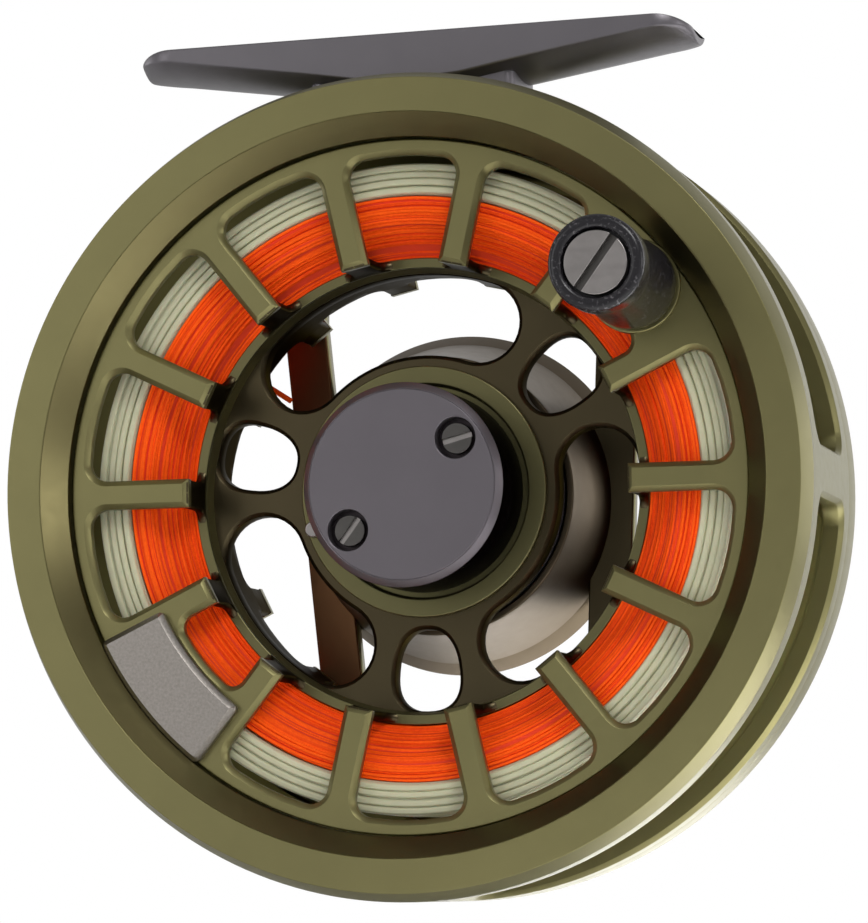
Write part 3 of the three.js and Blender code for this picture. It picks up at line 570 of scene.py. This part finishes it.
# ---------------------------------------------------------------- cage
def cage_wall():
    """The outer wall with its four slots, as a plate bent round the axis."""
    length = 2 * math.pi * CAGE_R
    start, margin = 90, 4
    front, back = WALL_FRONT - 2, WALL_BACK + 2
    loops = [[(-margin, front), (length + margin, front), (length + margin, back), (-margin, back)]]
    for first, last in SLOTS:
        u0, u1 = (length * (angle - start) / 360 for angle in (first, last))
        corners = [(u0, SLOT_FRONT), (u1, SLOT_FRONT), (u1, SLOT_BACK), (u0, SLOT_BACK)]
        loops.append(fillet(corners, SLOT_CORNER_R, 8))
    bm = bent(loops, CAGE_R, CAGE_R - WALL_INNER_R, 0.55, start)
    for depth, side in ((WALL_FRONT, -1), (WALL_BACK, 1)):
        bmesh.ops.bisect_plane(
            bm, geom=bm.verts[:] + bm.edges[:] + bm.faces[:], dist=1e-7,
            plane_co=place(0, depth, 0), plane_no=(0, side, 0), clear_outer=True,
        )
    return bm


def cage_front_ring():
    back = SLOT_FRONT - SLOT_MARGIN
    return turned([
        (FACE_INNER_R, 0), (CAGE_R - CAGE_TAPER, 0), (CAGE_R, CAGE_TAPER_DEPTH), (CAGE_R, WALL_FRONT),
        (WALL_SEAT_R, WALL_FRONT), (WALL_SEAT_R, back), (BORE_R, back),
        (BORE_R, LIP_DEPTH + LIP_THICKNESS), (FACE_INNER_R, LIP_THICKNESS),
    ], 0.09)


def cage_lip():
    """The cone that leads from the cage's front face in to its bore."""
    seat_r, back = FACE_INNER_R + 0.3, LIP_DEPTH + 1
    return turned([(FACE_INNER_R - 0.05, 0.05), (seat_r, 0.3), (seat_r, back), (BORE_R, back),
                   (BORE_R, LIP_DEPTH)], [0, 0, 0, 0, 0.15])


def cage_back_ring():
    front = SLOT_BACK + SLOT_MARGIN
    return turned([
        (WALL_INNER_R + 0.2, front), (WALL_SEAT_R, front), (WALL_SEAT_R, WALL_BACK),
        (CAGE_R, WALL_BACK), (CAGE_R, CAGE_WIDTH - CAGE_CHAMFER),
        (CAGE_R - CAGE_CHAMFER, CAGE_WIDTH), (BACK_PLATE_INNER_R, CAGE_WIDTH),
        (BACK_PLATE_INNER_R, BACK_PLATE_Y), (BORE_R, BACK_PLATE_Y), (BORE_R, SLOT_BACK + 1.8),
    ], 0.12)


def back_bar(top_x, bottom_x, y0, y1):
    """A straight bar across the back's window whose ends flare into the ring."""
    steps = 40
    half, reach = BAR_WIDTH / 2, BACK_PLATE_INNER_R + 1
    heights = [-reach + 2 * reach * i / steps for i in range(steps + 1)]

    def side(height, sign):
        end_z = math.sqrt(BACK_PLATE_INNER_R ** 2 - top_x ** 2)
        near = min(1, max(0, abs(height) - (end_z - BAR_FLARE_LENGTH)) / BAR_FLARE_LENGTH)
        x = bottom_x + (top_x - bottom_x) * (height + reach) / (2 * reach)
        return (x + sign * (half + BAR_FLARE * near ** 2), height)

    outline = [side(h, -1) for h in heights] + [side(h, 1) for h in reversed(heights)]
    inside = [p for p in outline if math.hypot(*p) < BACK_PLATE_INNER_R + 0.9]
    return plate([inside], y0, y1, min(0.3, (y1 - y0) / 3))


def drag_housing():
    """The turned dome that holds the drag, open at the front."""
    inner_r, bore_r = 14.6, 2.5
    front, floor, back = 18.5, 30.3, 33.5
    rim_inner_r, rim_back = 15.1, 20.4
    return turned([
        (rim_inner_r, front), (15.9, front), (16.1, 19.6), (17.1, 25), (18.6, 30.5), (19.9, 32.7),
        (19.1, back), (bore_r, back), (bore_r, floor), (inner_r, floor), (inner_r, rim_back),
        (rim_inner_r, rim_back),
    ], 0.18)


def bridge():
    """The wall's solid part under the foot, thicker than the rest."""
    first, last = BRIDGE_ENDS
    loop = arc(BRIDGE_OUTER_R, first, last, 24) + arc(BRIDGE_INNER_R, last, first, 24)
    return plate([loop], SLOT_FRONT - 1, SLOT_BACK + 1.5, 0.3)


def build_cage():
    def part(name, bm, material=OLIVE, edge=0.0):
        add(name, bm, "cage", material, "olive_anodised", ["frame"], edge=edge)

    part("cage_front_ring", cage_front_ring())
    # painted shade: the lip cone takes the olive copy with dimmed edge reflections
    part("cage_lip", cage_lip(), LIP_DIMMED_OLIVE)
    part("cage_back_ring", cage_back_ring())
    part("cage_wall", cage_wall(), edge=0.08)
    part("cage_bridge", bridge(), edge=0.06)
    middle = BACK_PLATE_Y + 0.4
    bars = joined(*(back_bar(*ends, middle, CAGE_WIDTH - 0.6) for ends in BARS))
    # thin front layers on the back bars that only carry painted shade: the warm copy on the left bar,
    # the recess copy on the right
    for side, ends, shade_look in zip(("left", "right"), BARS, (OLIVE_WARM_SHADE, OLIVE_RECESS_SHADE)):
        part(f"cage_bar_painted_shade_layer_{side}", back_bar(*ends, BACK_PLATE_Y, middle + 0.15), shade_look)
    part("cage_back_bars", bars)
    # the drag housing's darker, browner olive is painted shade and painted reflection
    part("drag_housing", drag_housing(), TURNED_DOME_SHADE)


# ---------------------------------------------------------------- spool
def window_side(radius, middle, side):
    """The point of a window's edge at a radius, beside the spoke on one side of the window."""
    half = SPOKE_WIDTH / 2
    spoke = middle + side * PITCH / 2
    along = math.sqrt(radius ** 2 - half ** 2)
    a, b = polar(along, spoke), polar(half, spoke - side * 90)
    return (a[0] + b[0], a[1] + b[1])


def flange(y0, shortened):
    """A flange whose spokes end free round the middle. shortened gives the indices of short windows."""
    inner = []
    for i in range(WINDOWS):
        middle = HANDLE_ANGLE + i * PITCH
        is_short = i in shortened
        outer_r = SHORT_WINDOW_R if is_short else WINDOW_R
        corners = [window_side(ARBOR_INNER_R, middle, -1), window_side(outer_r, middle, -1),
                   polar(outer_r, middle - 3), polar(outer_r, middle), polar(outer_r, middle + 3),
                   window_side(outer_r, middle, 1), window_side(ARBOR_INNER_R, middle, 1)]
        bend = SHORT_WINDOW_CORNER_R if is_short else WINDOW_CORNER_R
        rounded = fillet([(0, 0), *corners], [0, 0, bend, 0, 0, 0, bend, 0], 8)
        inner.extend(rounded[1:])
    return plate([circle(FLANGE_PLATE_R, 256), inner], y0, y0 + FLANGE_T, SPOKE_CHAMFER)


def flange_rim():
    """The front flange's crisp outer edge, close inside the cage's bore."""
    inner_r = FLANGE_PLATE_R - SPOKE_CHAMFER - 0.02
    return turned([(inner_r, FLANGE_Y), (FLANGE_R, FLANGE_Y), (FLANGE_R, FLANGE_Y + FLANGE_T),
                   (inner_r, FLANGE_Y + FLANGE_T)], [0, 0.2, 0.1, 0], 256)


def arbor():
    """The arbor tube and the fingers that carry both flanges, as a plate bent round the axis."""
    length = 2 * math.pi * ARBOR_R
    step = length / WINDOWS
    half = SPOKE_WIDTH / 2
    front_tip, back_tip = FLANGE_Y + FINGER_INSET, BACK_FLANGE_Y + FLANGE_T - FINGER_INSET
    front, back = [], []
    for i in range(WINDOWS):
        left, right = (i + 0.5) * step - half, (i + 0.5) * step + half
        front += [(left, ARBOR_Y), (left, front_tip), (right, front_tip), (right, ARBOR_Y)]
        back += [(left, ARBOR_END_Y), (left, back_tip), (right, back_tip), (right, ARBOR_END_Y)]
    outline = ([(-1, ARBOR_Y)] + front + [(length + 1, ARBOR_Y), (length + 1, ARBOR_END_Y)]
               + back[::-1] + [(-1, ARBOR_END_Y)])
    radii = [0] + FINGER_RADII * WINDOWS + [0, 0] + FINGER_RADII * WINDOWS + [0]
    return bent([fillet(outline, radii, 6)], ARBOR_R, ARBOR_R - ARBOR_INNER_R, 0.15, HANDLE_ANGLE,
                slices=112)


def big_opening(start, end):
    """A slot bent round the axis, with round ends."""
    steps = round((end - start) / 3)

    def round_end(angle, turn):
        centre = polar(OPENING_R, angle)
        points = (polar(OPENING_HALF, angle + turn + 10 * i) for i in range(1, 18))
        return [(centre[0] + p[0], centre[1] + p[1]) for p in points]

    return (arc(OPENING_R + OPENING_HALF, start, end, steps) + round_end(end, 0)
            + arc(OPENING_R - OPENING_HALF, end, start, steps) + round_end(start, 180))


def small_opening(angle):
    """An egg-shaped hole in one of the web's arms, broader at its outer end."""
    half_width, broadening, squareness = 3.7, 0.12, 0.82
    points = []
    for x, z in circle(1, 48):
        out = math.copysign(abs(x) ** squareness, x)
        across = math.copysign(abs(z) ** squareness, z)
        points.append((OPENING_R + OPENING_HALF * out, half_width * across * (1 + broadening * out)))
    return [turned_by(p, angle) for p in points]


def arbor_cove():
    """The cove between the web and the arbor's front edge."""
    inner_r, outer_r, foot = 24.5, ARBOR_INNER_R + 0.2, WEB_Y + 0.02
    return turned([(outer_r, ARBOR_Y + 0.05), (outer_r, foot + 1),
                   (inner_r + 0.3, foot + 1), (inner_r + 0.3, foot), (inner_r + 0.45, foot - 0.6),
                   (inner_r + 0.6, foot - 1.3)], 0.05)


def arbor_lip():
    """The arbor's turned front edge."""
    inner_r, outer_r = ARBOR_INNER_R - 0.05, ARBOR_R + 0.1
    front, back = ARBOR_Y - 0.05, ARBOR_Y + 0.5
    return turned([(inner_r, front), (outer_r, front), (outer_r, back), (inner_r, back)], 0.15)


def web():
    arms = [HANDLE_ANGLE + n * PITCH for n in WEB_ARMS]
    loops = [circle(ARBOR_INNER_R + 0.5, 128), circle(HUB_R - 0.6, 96)]
    for arm, following in zip(arms, arms[1:] + [arms[0] + 360]):
        loops.append(big_opening(arm + OPENING_GAP, following - OPENING_GAP))
        loops.append(small_opening(arm))
    return plate(loops, WEB_Y, WEB_END_Y, 0.45)


def hub():
    """The hub, with a raised rim in front, a seat for the bearing behind and a bore for the spindle."""
    rim_r, boss_r, bearing_r, bore_r = 12.1, 9.4, 6.1, 3.5
    rim_front, front, seat = 12.2, 13.1, 14.2
    shoulder, back = 17.9, 20.3
    return turned([
        (rim_r, rim_front), (HUB_R, rim_front), (HUB_R, shoulder), (boss_r, shoulder), (boss_r, back),
        (bearing_r, back), (bearing_r, seat), (bore_r, seat), (bore_r, front), (rim_r, front),
    ], 0.22)


def handle_boss():
    front, back = FLANGE_Y - 0.4, FLANGE_Y + 1
    return turned([(0, front), (BOSS_R, front), (BOSS_R, back), (0, back)], 0.2, 96, HANDLE_AT)


def build_spool():
    def part(name, bm, node, material=OLIVE, **finish):
        add(name, bm, "spool_assembly", material, "olive_anodised", [node], **finish)

    part("front_flange", flange(FLANGE_Y, (0, WINDOWS // 2)), "spool_front_flange", edge=0.07, sharp=30)
    part("handle_boss", handle_boss(), "spool_front_flange")
    part("back_flange", flange(BACK_FLANGE_Y, ()), "spool_back_flange", edge=0.07, sharp=30)
    part("flange_rim", flange_rim(), "spool_front_flange")
    # painted shade: the arbor and the web, deep inside the spool, take the much darker olive copy
    part("spool_arbor", arbor(), "spool_core", OLIVE_RECESS_SHADE)
    part("spool_web", web(), "spool_core", OLIVE_RECESS_SHADE, edge=0.07)
    part("arbor_cove", arbor_cove(), "spool_core")
    # painted shade: the recessed arbor lip and hub take the darker olive copy
    part("arbor_lip", arbor_lip(), "spool_core", OLIVE_HALF_SHADE)
    part("spool_hub", hub(), "spool_core", OLIVE_HALF_SHADE)


# ---------------------------------------------------------------- windings
def strands(turns, wire_r, sides, seed):
    """Wound turns as tubes. Each turn is (radius, depth, wander), and wanders in both of them."""
    rng = random.Random(seed)
    full_turn = 2 * math.pi

    def waves(wander, least, most, counts):
        return [(rng.uniform(least, most) * wander / k, k, rng.uniform(0, full_turn)) for k in counts]

    def shift(angle, parts):
        return sum(size * math.sin(k * angle + phase) for size, k, phase in parts)

    bm = bmesh.new()
    for radius, depth, wander in turns:
        outward = waves(wander, 0.3, 1, (1, 2, 3, 5))
        sideways = waves(wander, 0.2, 0.8, (1, 3, 4))
        rings = []
        for i in range(STRAND_STEPS):
            angle = full_turn * i / STRAND_STEPS
            r = radius + shift(angle, outward)
            y = depth + shift(angle, sideways)
            ring = []
            for j in range(sides):
                out, across = polar(wire_r, 360 * j / sides)
                x, z = polar(r + out, math.degrees(angle))
                ring.append(bm.verts.new(place(x, y + across, z)))
            rings.append(ring)
        for i, ring in enumerate(rings):
            following = rings[(i + 1) % STRAND_STEPS]
            for j in range(sides):
                k = (j + 1) % sides
                bm.faces.new((ring[j], following[j], following[k], ring[k]))
    bmesh.ops.recalc_face_normals(bm, faces=bm.faces)
    return bm


def along(points, spacing):
    """Evenly spaced points along a line of straight runs."""
    out, carry = [], 0.0
    for (x0, y0), (x1, y1) in zip(points, points[1:]):
        length = math.hypot(x1 - x0, y1 - y0)
        while carry <= length:
            t = carry / length
            out.append((x0 + (x1 - x0) * t, y0 + (y1 - y0) * t))
            carry += spacing
        carry -= length
    return out


def build_backing():
    """The backing: a solid core, in a darker red of painted shade for the gaps, under separate strands
    on both of its sides.
    """
    surface = [(26.5, ARBOR_Y + 0.3), (30.4, WINDING_FRONT_Y + 0.5),
               (BACKING_OUTER_R, WINDING_FRONT_Y + 0.4)]
    core = [(r - 0.1, y + 0.12) for r, y in surface]
    mirrored = [(r, 2 * WINDING_MIDDLE_Y - y) for r, y in reversed(core)]
    # painted shade: the core's darker red shades the gaps between strands
    add("backing_core", turned(core + mirrored, 0.3, 128), "spool_assembly", DACRON_SHADE,
        "backing_dacron", ["backing"])
    rng = random.Random(7)
    turns = []
    for radius, depth in along(surface, 2 * BACKING_WIRE_R * BACKING_CLOSENESS):
        for y in (depth, 2 * WINDING_MIDDLE_Y - depth):
            inward = 1 if y < WINDING_MIDDLE_Y else -1
            turn_r = radius + rng.uniform(-0.06, 0.06)
            turns.append((turn_r, y + inward * rng.uniform(-0.1, 0.24), BACKING_WANDER))
    add("backing_strands", strands(turns, BACKING_WIRE_R, 6, 3), "spool_assembly", DACRON,
        "backing_dacron", sharp=180)


def build_line():
    """The fly line: turns on both sides of the winding and one layer round the outside."""
    inner_r, outer_r = BACKING_OUTER_R + 0.1, LINE_OUTER_R - 0.5
    front, back = WINDING_FRONT_Y + 0.5, WINDING_BACK_Y - 0.5
    core = [(inner_r, front), (outer_r, front), (outer_r, back), (inner_r, back)]
    add("fly_line_core", turned(core, 0.3, 128), "spool_assembly", LINE, "line_pvc", ["fly_line"])
    rng = random.Random(11)
    pitch = 2 * LINE_WIRE_R
    turns = []
    radius = LINE_OUTER_R - LINE_WIRE_R
    while radius > BACKING_OUTER_R + LINE_WIRE_R * 0.6:
        for y in (WINDING_FRONT_Y + LINE_WIRE_R, WINDING_BACK_Y - LINE_WIRE_R):
            inward = 1 if y < WINDING_MIDDLE_Y else -1
            turns.append((radius, y + rng.uniform(-0.1, 0.15) * inward, LINE_SIDE_WANDER))
        radius -= pitch
    depth = WINDING_FRONT_Y + LINE_WIRE_R + pitch
    while depth < WINDING_BACK_Y - LINE_WIRE_R - pitch / 2:
        turn_r = LINE_OUTER_R - LINE_WIRE_R + rng.uniform(-0.12, 0)
        turns.append((turn_r, depth, LINE_OUTER_WANDER))
        depth += pitch
    add("fly_line_turns", strands(turns, LINE_WIRE_R, 10, 5), "spool_assembly", LINE, "line_pvc",
        sharp=180)


# ---------------------------------------------------------------- small turned and slotted parts
def head_halves(radius, y0, slot_width, slot_depth, slot_angle, centre):
    """The two half discs on either side of a screw head's slot."""
    halves = []
    edge = math.degrees(math.asin(slot_width / 2 / radius))
    for turn in (0, 180):
        segment = arc(radius, edge, 180 - edge, 40)
        loop = [turned_by(p, turn + slot_angle) for p in segment]
        loop = [(x + centre[0], z + centre[1]) for x, z in loop]
        halves.append(plate([loop], y0, y0 + slot_depth + 0.2, HEAD_CHAMFER, 2))
    return joined(*halves)


def head_floor(radius, y0, y1, centre):
    """The disc under a screw head's half discs, which is the floor of its slot."""
    edge_r = radius - 0.02
    return turned([(0, y0), (edge_r, y0), (edge_r, y1), (0, y1)], 0.05, 96, centre)


def build_cap():
    """The centre cap, with two counterbored screws."""
    screws = [polar(CAP_SCREW_RADIUS, HANDLE_ANGLE + turn) for turn in (0, 180)]
    inner_r = CAP_FACE_R - 0.25
    skirt = turned([(inner_r, CAP_BASE_Y), (CAP_R, CAP_BASE_Y), (CAP_R, CAP_SKIRT_Y),
                    (inner_r, CAP_SKIRT_Y)], [0, 0.3, 0.02, 0])
    bevel = turned([
        (CAP_FACE_R - 0.4, CAP_SKIRT_Y + 0.1), (CAP_R - 0.04, CAP_SKIRT_Y + 0.1),
        (CAP_R - 0.02, CAP_SKIRT_Y - 0.02), (CAP_FACE_R + 0.05, CAP_Y + 0.05),
        (CAP_FACE_R - 0.4, CAP_Y + 0.4),
    ], 0.02)
    bores = [circle(CAP_BORE_R, 64, at) for at in screws]
    face = plate([circle(CAP_FACE_R, 192)] + bores, CAP_Y, 4.4, 0.14, 2)
    # the floor of the counterbores, in the near-black painted shade
    floor = turned([(0, 4.3), (CAP_FACE_R - 0.2, 4.3), (CAP_FACE_R - 0.2, 5.2), (0, 5.2)], 0.05)
    cap = ("black_anodised", ["center_cap"])
    add("cap_body", joined(face, bevel), "spool_assembly", BLACK, *cap)
    # painted shade: the cap's side and the counterbores' floor take the near-black copy
    add("cap_skirt", joined(skirt, floor), "spool_assembly", BLACK_SHADE, *cap)
    for i, (at, slot_angle) in enumerate(zip(screws, CAP_SLOT_ANGLES), 1):
        node = [f"cap_screw_{i}"]
        halves = head_halves(CAP_SCREW_R, 3.3, 0.6, 0.5, slot_angle, at)
        # painted shade: the cap screws' halves take the dark steel copy, standing in for their dark
        # reflections
        add(f"cap_screw_head_{i}", halves, "spool_assembly", STEEL_SHADE, "steel", node)
        floor = head_floor(CAP_SCREW_R, 3.7, 4.5, at)
        add(f"cap_screw_slot_{i}", floor, "spool_assembly", STEEL, "steel", node)


def build_latch():
    """The release latch: an eye round the spindle, and the thumb tab that shows beside the cap."""
    tip = [(LATCH_TIP_AT + x, z) for x, z in arc(LATCH_TIP_R, -90, 90, 16)]
    tab = [(5, -LATCH_TIP_R), *tip, (5, LATCH_TIP_R)]
    eye = [turned_by(p, LATCH_ANGLE) for p in circle(4.9, 48)]
    hole = circle(3.8, 48, turned_by((0.7, 0), LATCH_ANGLE))
    bm = joined(plate([[turned_by(p, LATCH_ANGLE) for p in tab]], LATCH_Y, LATCH_END_Y, 0.2, 2),
                plate([eye, hole], LATCH_Y + 0.02, LATCH_END_Y - 0.02, 0.1))
    add("latch_tab", bm, "latch", STEEL, "steel", ["release_latch"])


def build_handle():
    """The handle's knob and its slotted screw."""
    bore_r, seat_r, seat_y = 2.75, 3.72, -14.8
    outline = [
        (bore_r, 2.6), (4.98, 2.6), (4.98, -0.5), (GRIP_WAIST_R, -5.5), (GRIP_WAIST_R, -9.5),
        (GRIP_R, -13.2), (GRIP_R, GRIP_END_Y), (seat_r, GRIP_END_Y), (seat_r, seat_y), (bore_r, seat_y),
    ]
    knob = turned(outline, [0, 0.5, 1.2, 4, 4, 2, 0.95, 0.5, 0, 0], 128, HANDLE_AT)
    add("grip_knob", knob, "grip", PLASTIC, "knob_plastic", ["handle_knob"])
    screw = ("steel", ["handle_screw"])
    halves = head_halves(GRIP_SCREW_R, GRIP_SCREW_Y, 0.9, 0.9, GRIP_SLOT_ANGLE, HANDLE_AT)
    add("grip_screw_head", halves, "spool_assembly", STEEL, *screw)
    floor = head_floor(GRIP_SCREW_R, -15.5, -14.7, HANDLE_AT)
    # painted shade: the floor of the handle screw's slot is the dark steel copy
    add("grip_screw_slot", floor, "spool_assembly", STEEL_SHADE, *screw)


def build_weight():
    """The counterweight: a block between two arcs.

    The arcs leave out the point beside each corner, which gives the corner room to bend.
    """
    steps, corner_r = 24, 0.9
    start, end = (HANDLE_ANGLE + 180 + side * WEIGHT_SPAN / 2 for side in (-1, 1))
    outline = arc(WEIGHT_OUTER_R, start, end, steps) + arc(WEIGHT_INNER_R, end, start, steps)
    corners = (0, steps, steps + 1, 2 * steps + 1)
    beside = (1, steps - 1, steps + 2, 2 * steps)
    keep = [i for i in range(len(outline)) if i not in beside]
    loop = fillet([outline[i] for i in keep], [corner_r if i in corners else 0 for i in keep], 5)
    add("weight_block", plate([loop], FLANGE_Y - 1.5, FLANGE_Y + 0.5, 0.6), "spool_assembly", WEIGHT,
        "weight_steel", ["counterweight"], edge=0.07, sharp=30)


def build_drag_knob():
    """The rear knob with its finger scallops, and its screw."""
    outline = []
    for angle in range(360):
        degrees_off = abs(angle % SCALLOP_PITCH - SCALLOP_PITCH / 2)
        from_scallop = degrees_off * math.radians(1) * KNOB_R
        bite = SCALLOP_DEPTH * max(0, 1 - (from_scallop / SCALLOP_HALF) ** 2)
        outline.append(polar(KNOB_R - bite, angle))
    well_r, bore_r, recess_r = 4.4, 2.5, 11.6
    recess_floor, well_floor = 36.6, 39.9
    grip = plate([outline, circle(well_r, 64)], KNOB_Y + 1.3, KNOB_END_Y, 0.9, 3)
    core = turned([
        (bore_r, recess_floor), (recess_r, recess_floor), (recess_r, KNOB_Y), (KNOB_R - 0.9, KNOB_Y),
        (KNOB_R - 0.7, KNOB_Y + 1.6), (KNOB_R - 2, KNOB_Y + 2), (well_r, KNOB_END_Y - 1),
        (4.2, well_floor), (bore_r, well_floor),
    ], 0.15)
    add("drag_knob_grip", joined(grip, core), "knob", BLACK, "black_anodised", ["drag_knob"])
    head_r, seat, top, socket_floor = 3.6, 39.6, 41.3, 40.6
    screw = turned([(0, seat), (head_r, seat), (head_r, 41), (3, top), (1.5, top), (1.3, socket_floor),
                    (0, socket_floor)], 0.1, 96)
    add("knob_screw_head", screw, "knob", STEEL, "steel", ["knob_screw"])


# ---------------------------------------------------------------- foot
FOOT_STATIONS = (  # distance from the middle, half width, edge thickness, middle thickness
    (0, 7, 5.6, 6.9), (6, 7, 5.2, 6.6), (12, 7, 4.15, 5.7), (28.3, 7, 1.6, 3.2), (32.3, 7, 1.5, 2.7),
)


def foot_shape(x):
    """Half width, edge thickness and middle thickness of the foot at a distance from its middle."""
    distance = abs(x)
    for before, after in zip(FOOT_STATIONS, FOOT_STATIONS[1:]):
        if distance <= after[0]:
            t = (distance - before[0]) / (after[0] - before[0])
            width, edge, middle = (a + (b - a) * t for a, b in zip(before[1:], after[1:]))
            break
    from_tip = FOOT_HALF_LENGTH - distance
    if from_tip < FOOT_END_LENGTH:
        towards_tip = 1 - from_tip / FOOT_END_LENGTH
        width -= FOOT_END_TAPER * (1 - math.sqrt(max(0, 1 - towards_tip ** 2)))
    return width, edge, middle


def foot_body():
    """The foot as cross-sections: hollow on top to fit a rod, rounded underneath."""
    saddle_r = (FOOT_HALF_WIDTH ** 2 + SADDLE_DEPTH ** 2) / (2 * SADDLE_DEPTH)
    stations = [FOOT_HALF_LENGTH * math.sin(math.pi / 2 * i / 60) for i in range(-60, 61)]
    steps = 20
    corners = (0, steps, steps + 1, 2 * steps + 1)
    corner_radii = [0.35 if k in corners else 0 for k in range(2 * steps + 2)]
    bm = bmesh.new()
    rings = []
    for x in stations:
        width, edge, middle = foot_shape(x)
        top, bottom = [], []
        for i in range(steps + 1):
            across = 2 * i / steps - 1
            y = width * across
            top.append((y, FOOT_TOP - (math.sqrt(saddle_r ** 2 - y ** 2) - (saddle_r - SADDLE_DEPTH))))
            swell = 1 - abs(across) ** 2.4
            bottom.append((y, FOOT_TOP - edge - (middle - edge) * swell))
        section = fillet(top + bottom[::-1], corner_radii, 3)
        rings.append([bm.verts.new(place(x, FOOT_Y + y, z)) for y, z in section])
    for ring, following in zip(rings, rings[1:]):
        for j in range(len(ring)):
            k = (j + 1) % len(ring)
            bm.faces.new((ring[j], following[j], following[k], ring[k]))
    for ring in (rings[0], rings[-1]):
        bm.faces.new(ring)
    bmesh.ops.recalc_face_normals(bm, faces=bm.faces)
    return bm


def build_foot():
    base = fillet([(sx * PEDESTAL_HALF_LENGTH, sy * PEDESTAL_HALF_WIDTH)
                   for sx, sy in ((-1, -1), (1, -1), (1, 1), (-1, 1))], 1.2, 6)
    top = FOOT_TOP - 4.5
    bm = flat([base], top - PAD_TOP, 0.25)
    pedestal = moved(bm, lambda u, v, w: place(u, FOOT_Y + v, (PAD_TOP + top) / 2 + w))
    add("foot_body", foot_body(), "cage", FOOT_GREY, "foot_anodised", ["reel_foot"], edge=0.12)
    add("foot_pedestal", pedestal, "cage", FOOT_GREY, "foot_anodised", ["reel_foot"], edge=0.06)


# ---------------------------------------------------------------- camera, floor and light
def build_camera():
    azimuth, elevation, roll = map(math.radians, (VIEW_AZIMUTH, VIEW_ELEVATION, VIEW_ROLL))
    forward = Vector((-math.sin(azimuth) * math.cos(elevation),
                      math.cos(azimuth) * math.cos(elevation), -math.sin(elevation)))
    camera = bpy.data.objects.new("camera", bpy.data.cameras.new("camera"))
    camera.data.lens = VIEW_LENS
    camera.data.clip_start = 0.01
    camera.rotation_mode = "QUATERNION"
    camera.rotation_quaternion = forward.to_track_quat("-Z", "Y") @ Quaternion((0, 0, 1), roll)
    camera.location = place(*VIEW_CENTRE) - forward * VIEW_DISTANCE
    bpy.context.scene.collection.objects.link(camera)
    bpy.context.scene.camera = camera


def build_floor():
    material, tree, shader = principled("pale_floor", (0.9, 0.9, 0.9), 0.6, 0.0)
    vary_roughness(tree, shader, noise(tree, 20), 0.55, 0.65)
    bm = bmesh.new()
    level = FRAME_LOW.z - FLOOR_DROP
    corners = ((-1, -1), (1, -1), (1, 1), (-1, 1))
    bm.faces.new([bm.verts.new((x * FLOOR_HALF, y * FLOOR_HALF, level)) for x, y in corners])
    mesh = bpy.data.meshes.new("floor")
    bm.to_mesh(mesh)
    bm.free()
    mesh.materials.append(material)
    floor = bpy.data.objects.new("floor", mesh)
    bpy.context.scene.collection.objects.link(floor)


def hang(light, power, location, aim):
    """Puts a light in the scene, turned towards a point and out of the camera's sight."""
    light.energy = power
    holder = bpy.data.objects.new(light.name, light)
    holder.location = location
    holder.rotation_euler = (aim - Vector(location)).to_track_quat("-Z", "Y").to_euler()
    holder.visible_camera = False
    bpy.context.scene.collection.objects.link(holder)


def area_light(name, location, size, power, aim):
    light = bpy.data.lights.new(name, "AREA")
    light.shape = "RECTANGLE"
    light.size, light.size_y = size
    hang(light, power, location, aim)


def floor_spot(name, location, target, power, size):
    """A spot that brightens a patch of floor beside the reel, which the metal then mirrors."""
    light = bpy.data.lights.new(name, "SPOT")
    light.spot_size = math.radians(size)
    light.spot_blend = 0.15
    light.shadow_soft_size = 0.02
    hang(light, power, location, Vector((*target, FRAME_LOW.z)))


def build_world():
    """Soft white light from all round, and a plain white background for the camera."""
    world = bpy.data.worlds.new("studio")
    bpy.context.scene.world = world
    world.use_nodes = True
    tree = world.node_tree
    soft = tree.nodes["Background"]
    soft.inputs["Color"].default_value = (1, 1, 1, 1)
    soft.inputs["Strength"].default_value = 0.42
    backdrop = tree.nodes.new("ShaderNodeBackground")
    backdrop.inputs["Color"].default_value = (1, 1, 1, 1)
    backdrop.inputs["Strength"].default_value = 1.0
    mix = tree.nodes.new("ShaderNodeMixShader")
    rays = tree.nodes.new("ShaderNodeLightPath")
    tree.links.new(rays.outputs["Is Camera Ray"], mix.inputs["Fac"])
    tree.links.new(soft.outputs[0], mix.inputs[1])
    tree.links.new(backdrop.outputs[0], mix.inputs[2])
    tree.links.new(mix.outputs[0], tree.nodes["World Output"].inputs["Surface"])


def build_lights():
    middle = place(0, 10, 0)
    area_light("key", (-0.55, -0.8, 0.17), (0.5, 0.5), 1.25, middle)
    area_light("left", (-0.8, 0.1, -0.02), (0.5, 0.5), 1.2, middle)
    area_light("upper_right", (0.4, -0.6, 0.55), (0.35, 0.35), 3.6, middle)
    area_light("backdrop", (0.2, 0.9, 0.15), (1.2, 0.9), 1.8, middle)
    area_light("right", (0.8, -0.12, 0.04), (0.25, 0.25), 0.75, middle)
    area_light("back_right", (0.62, 0.5, 0.0), (0.35, 0.35), 0.62, middle)
    floor_spot("front_spot", (0.06, -0.3, 0.4), (0.048, -0.085), 13, 14)
    floor_spot("side_spot", (0.35, 0.25, 0.35), (0.095, 0.015), 50, 8.5)
    floor_spot("back_spot", (0.05, 0.38, 0.32), (0.02, 0.068), 30, 9)


build_camera()
dress_cad_nodes()
build_cage()
build_spool()
build_backing()
build_line()
build_cap()
build_latch()
build_handle()
build_weight()
build_drag_knob()
build_foot()
build_floor()
build_world()
build_lights()
bpy.context.scene.view_settings.view_transform = "Standard"
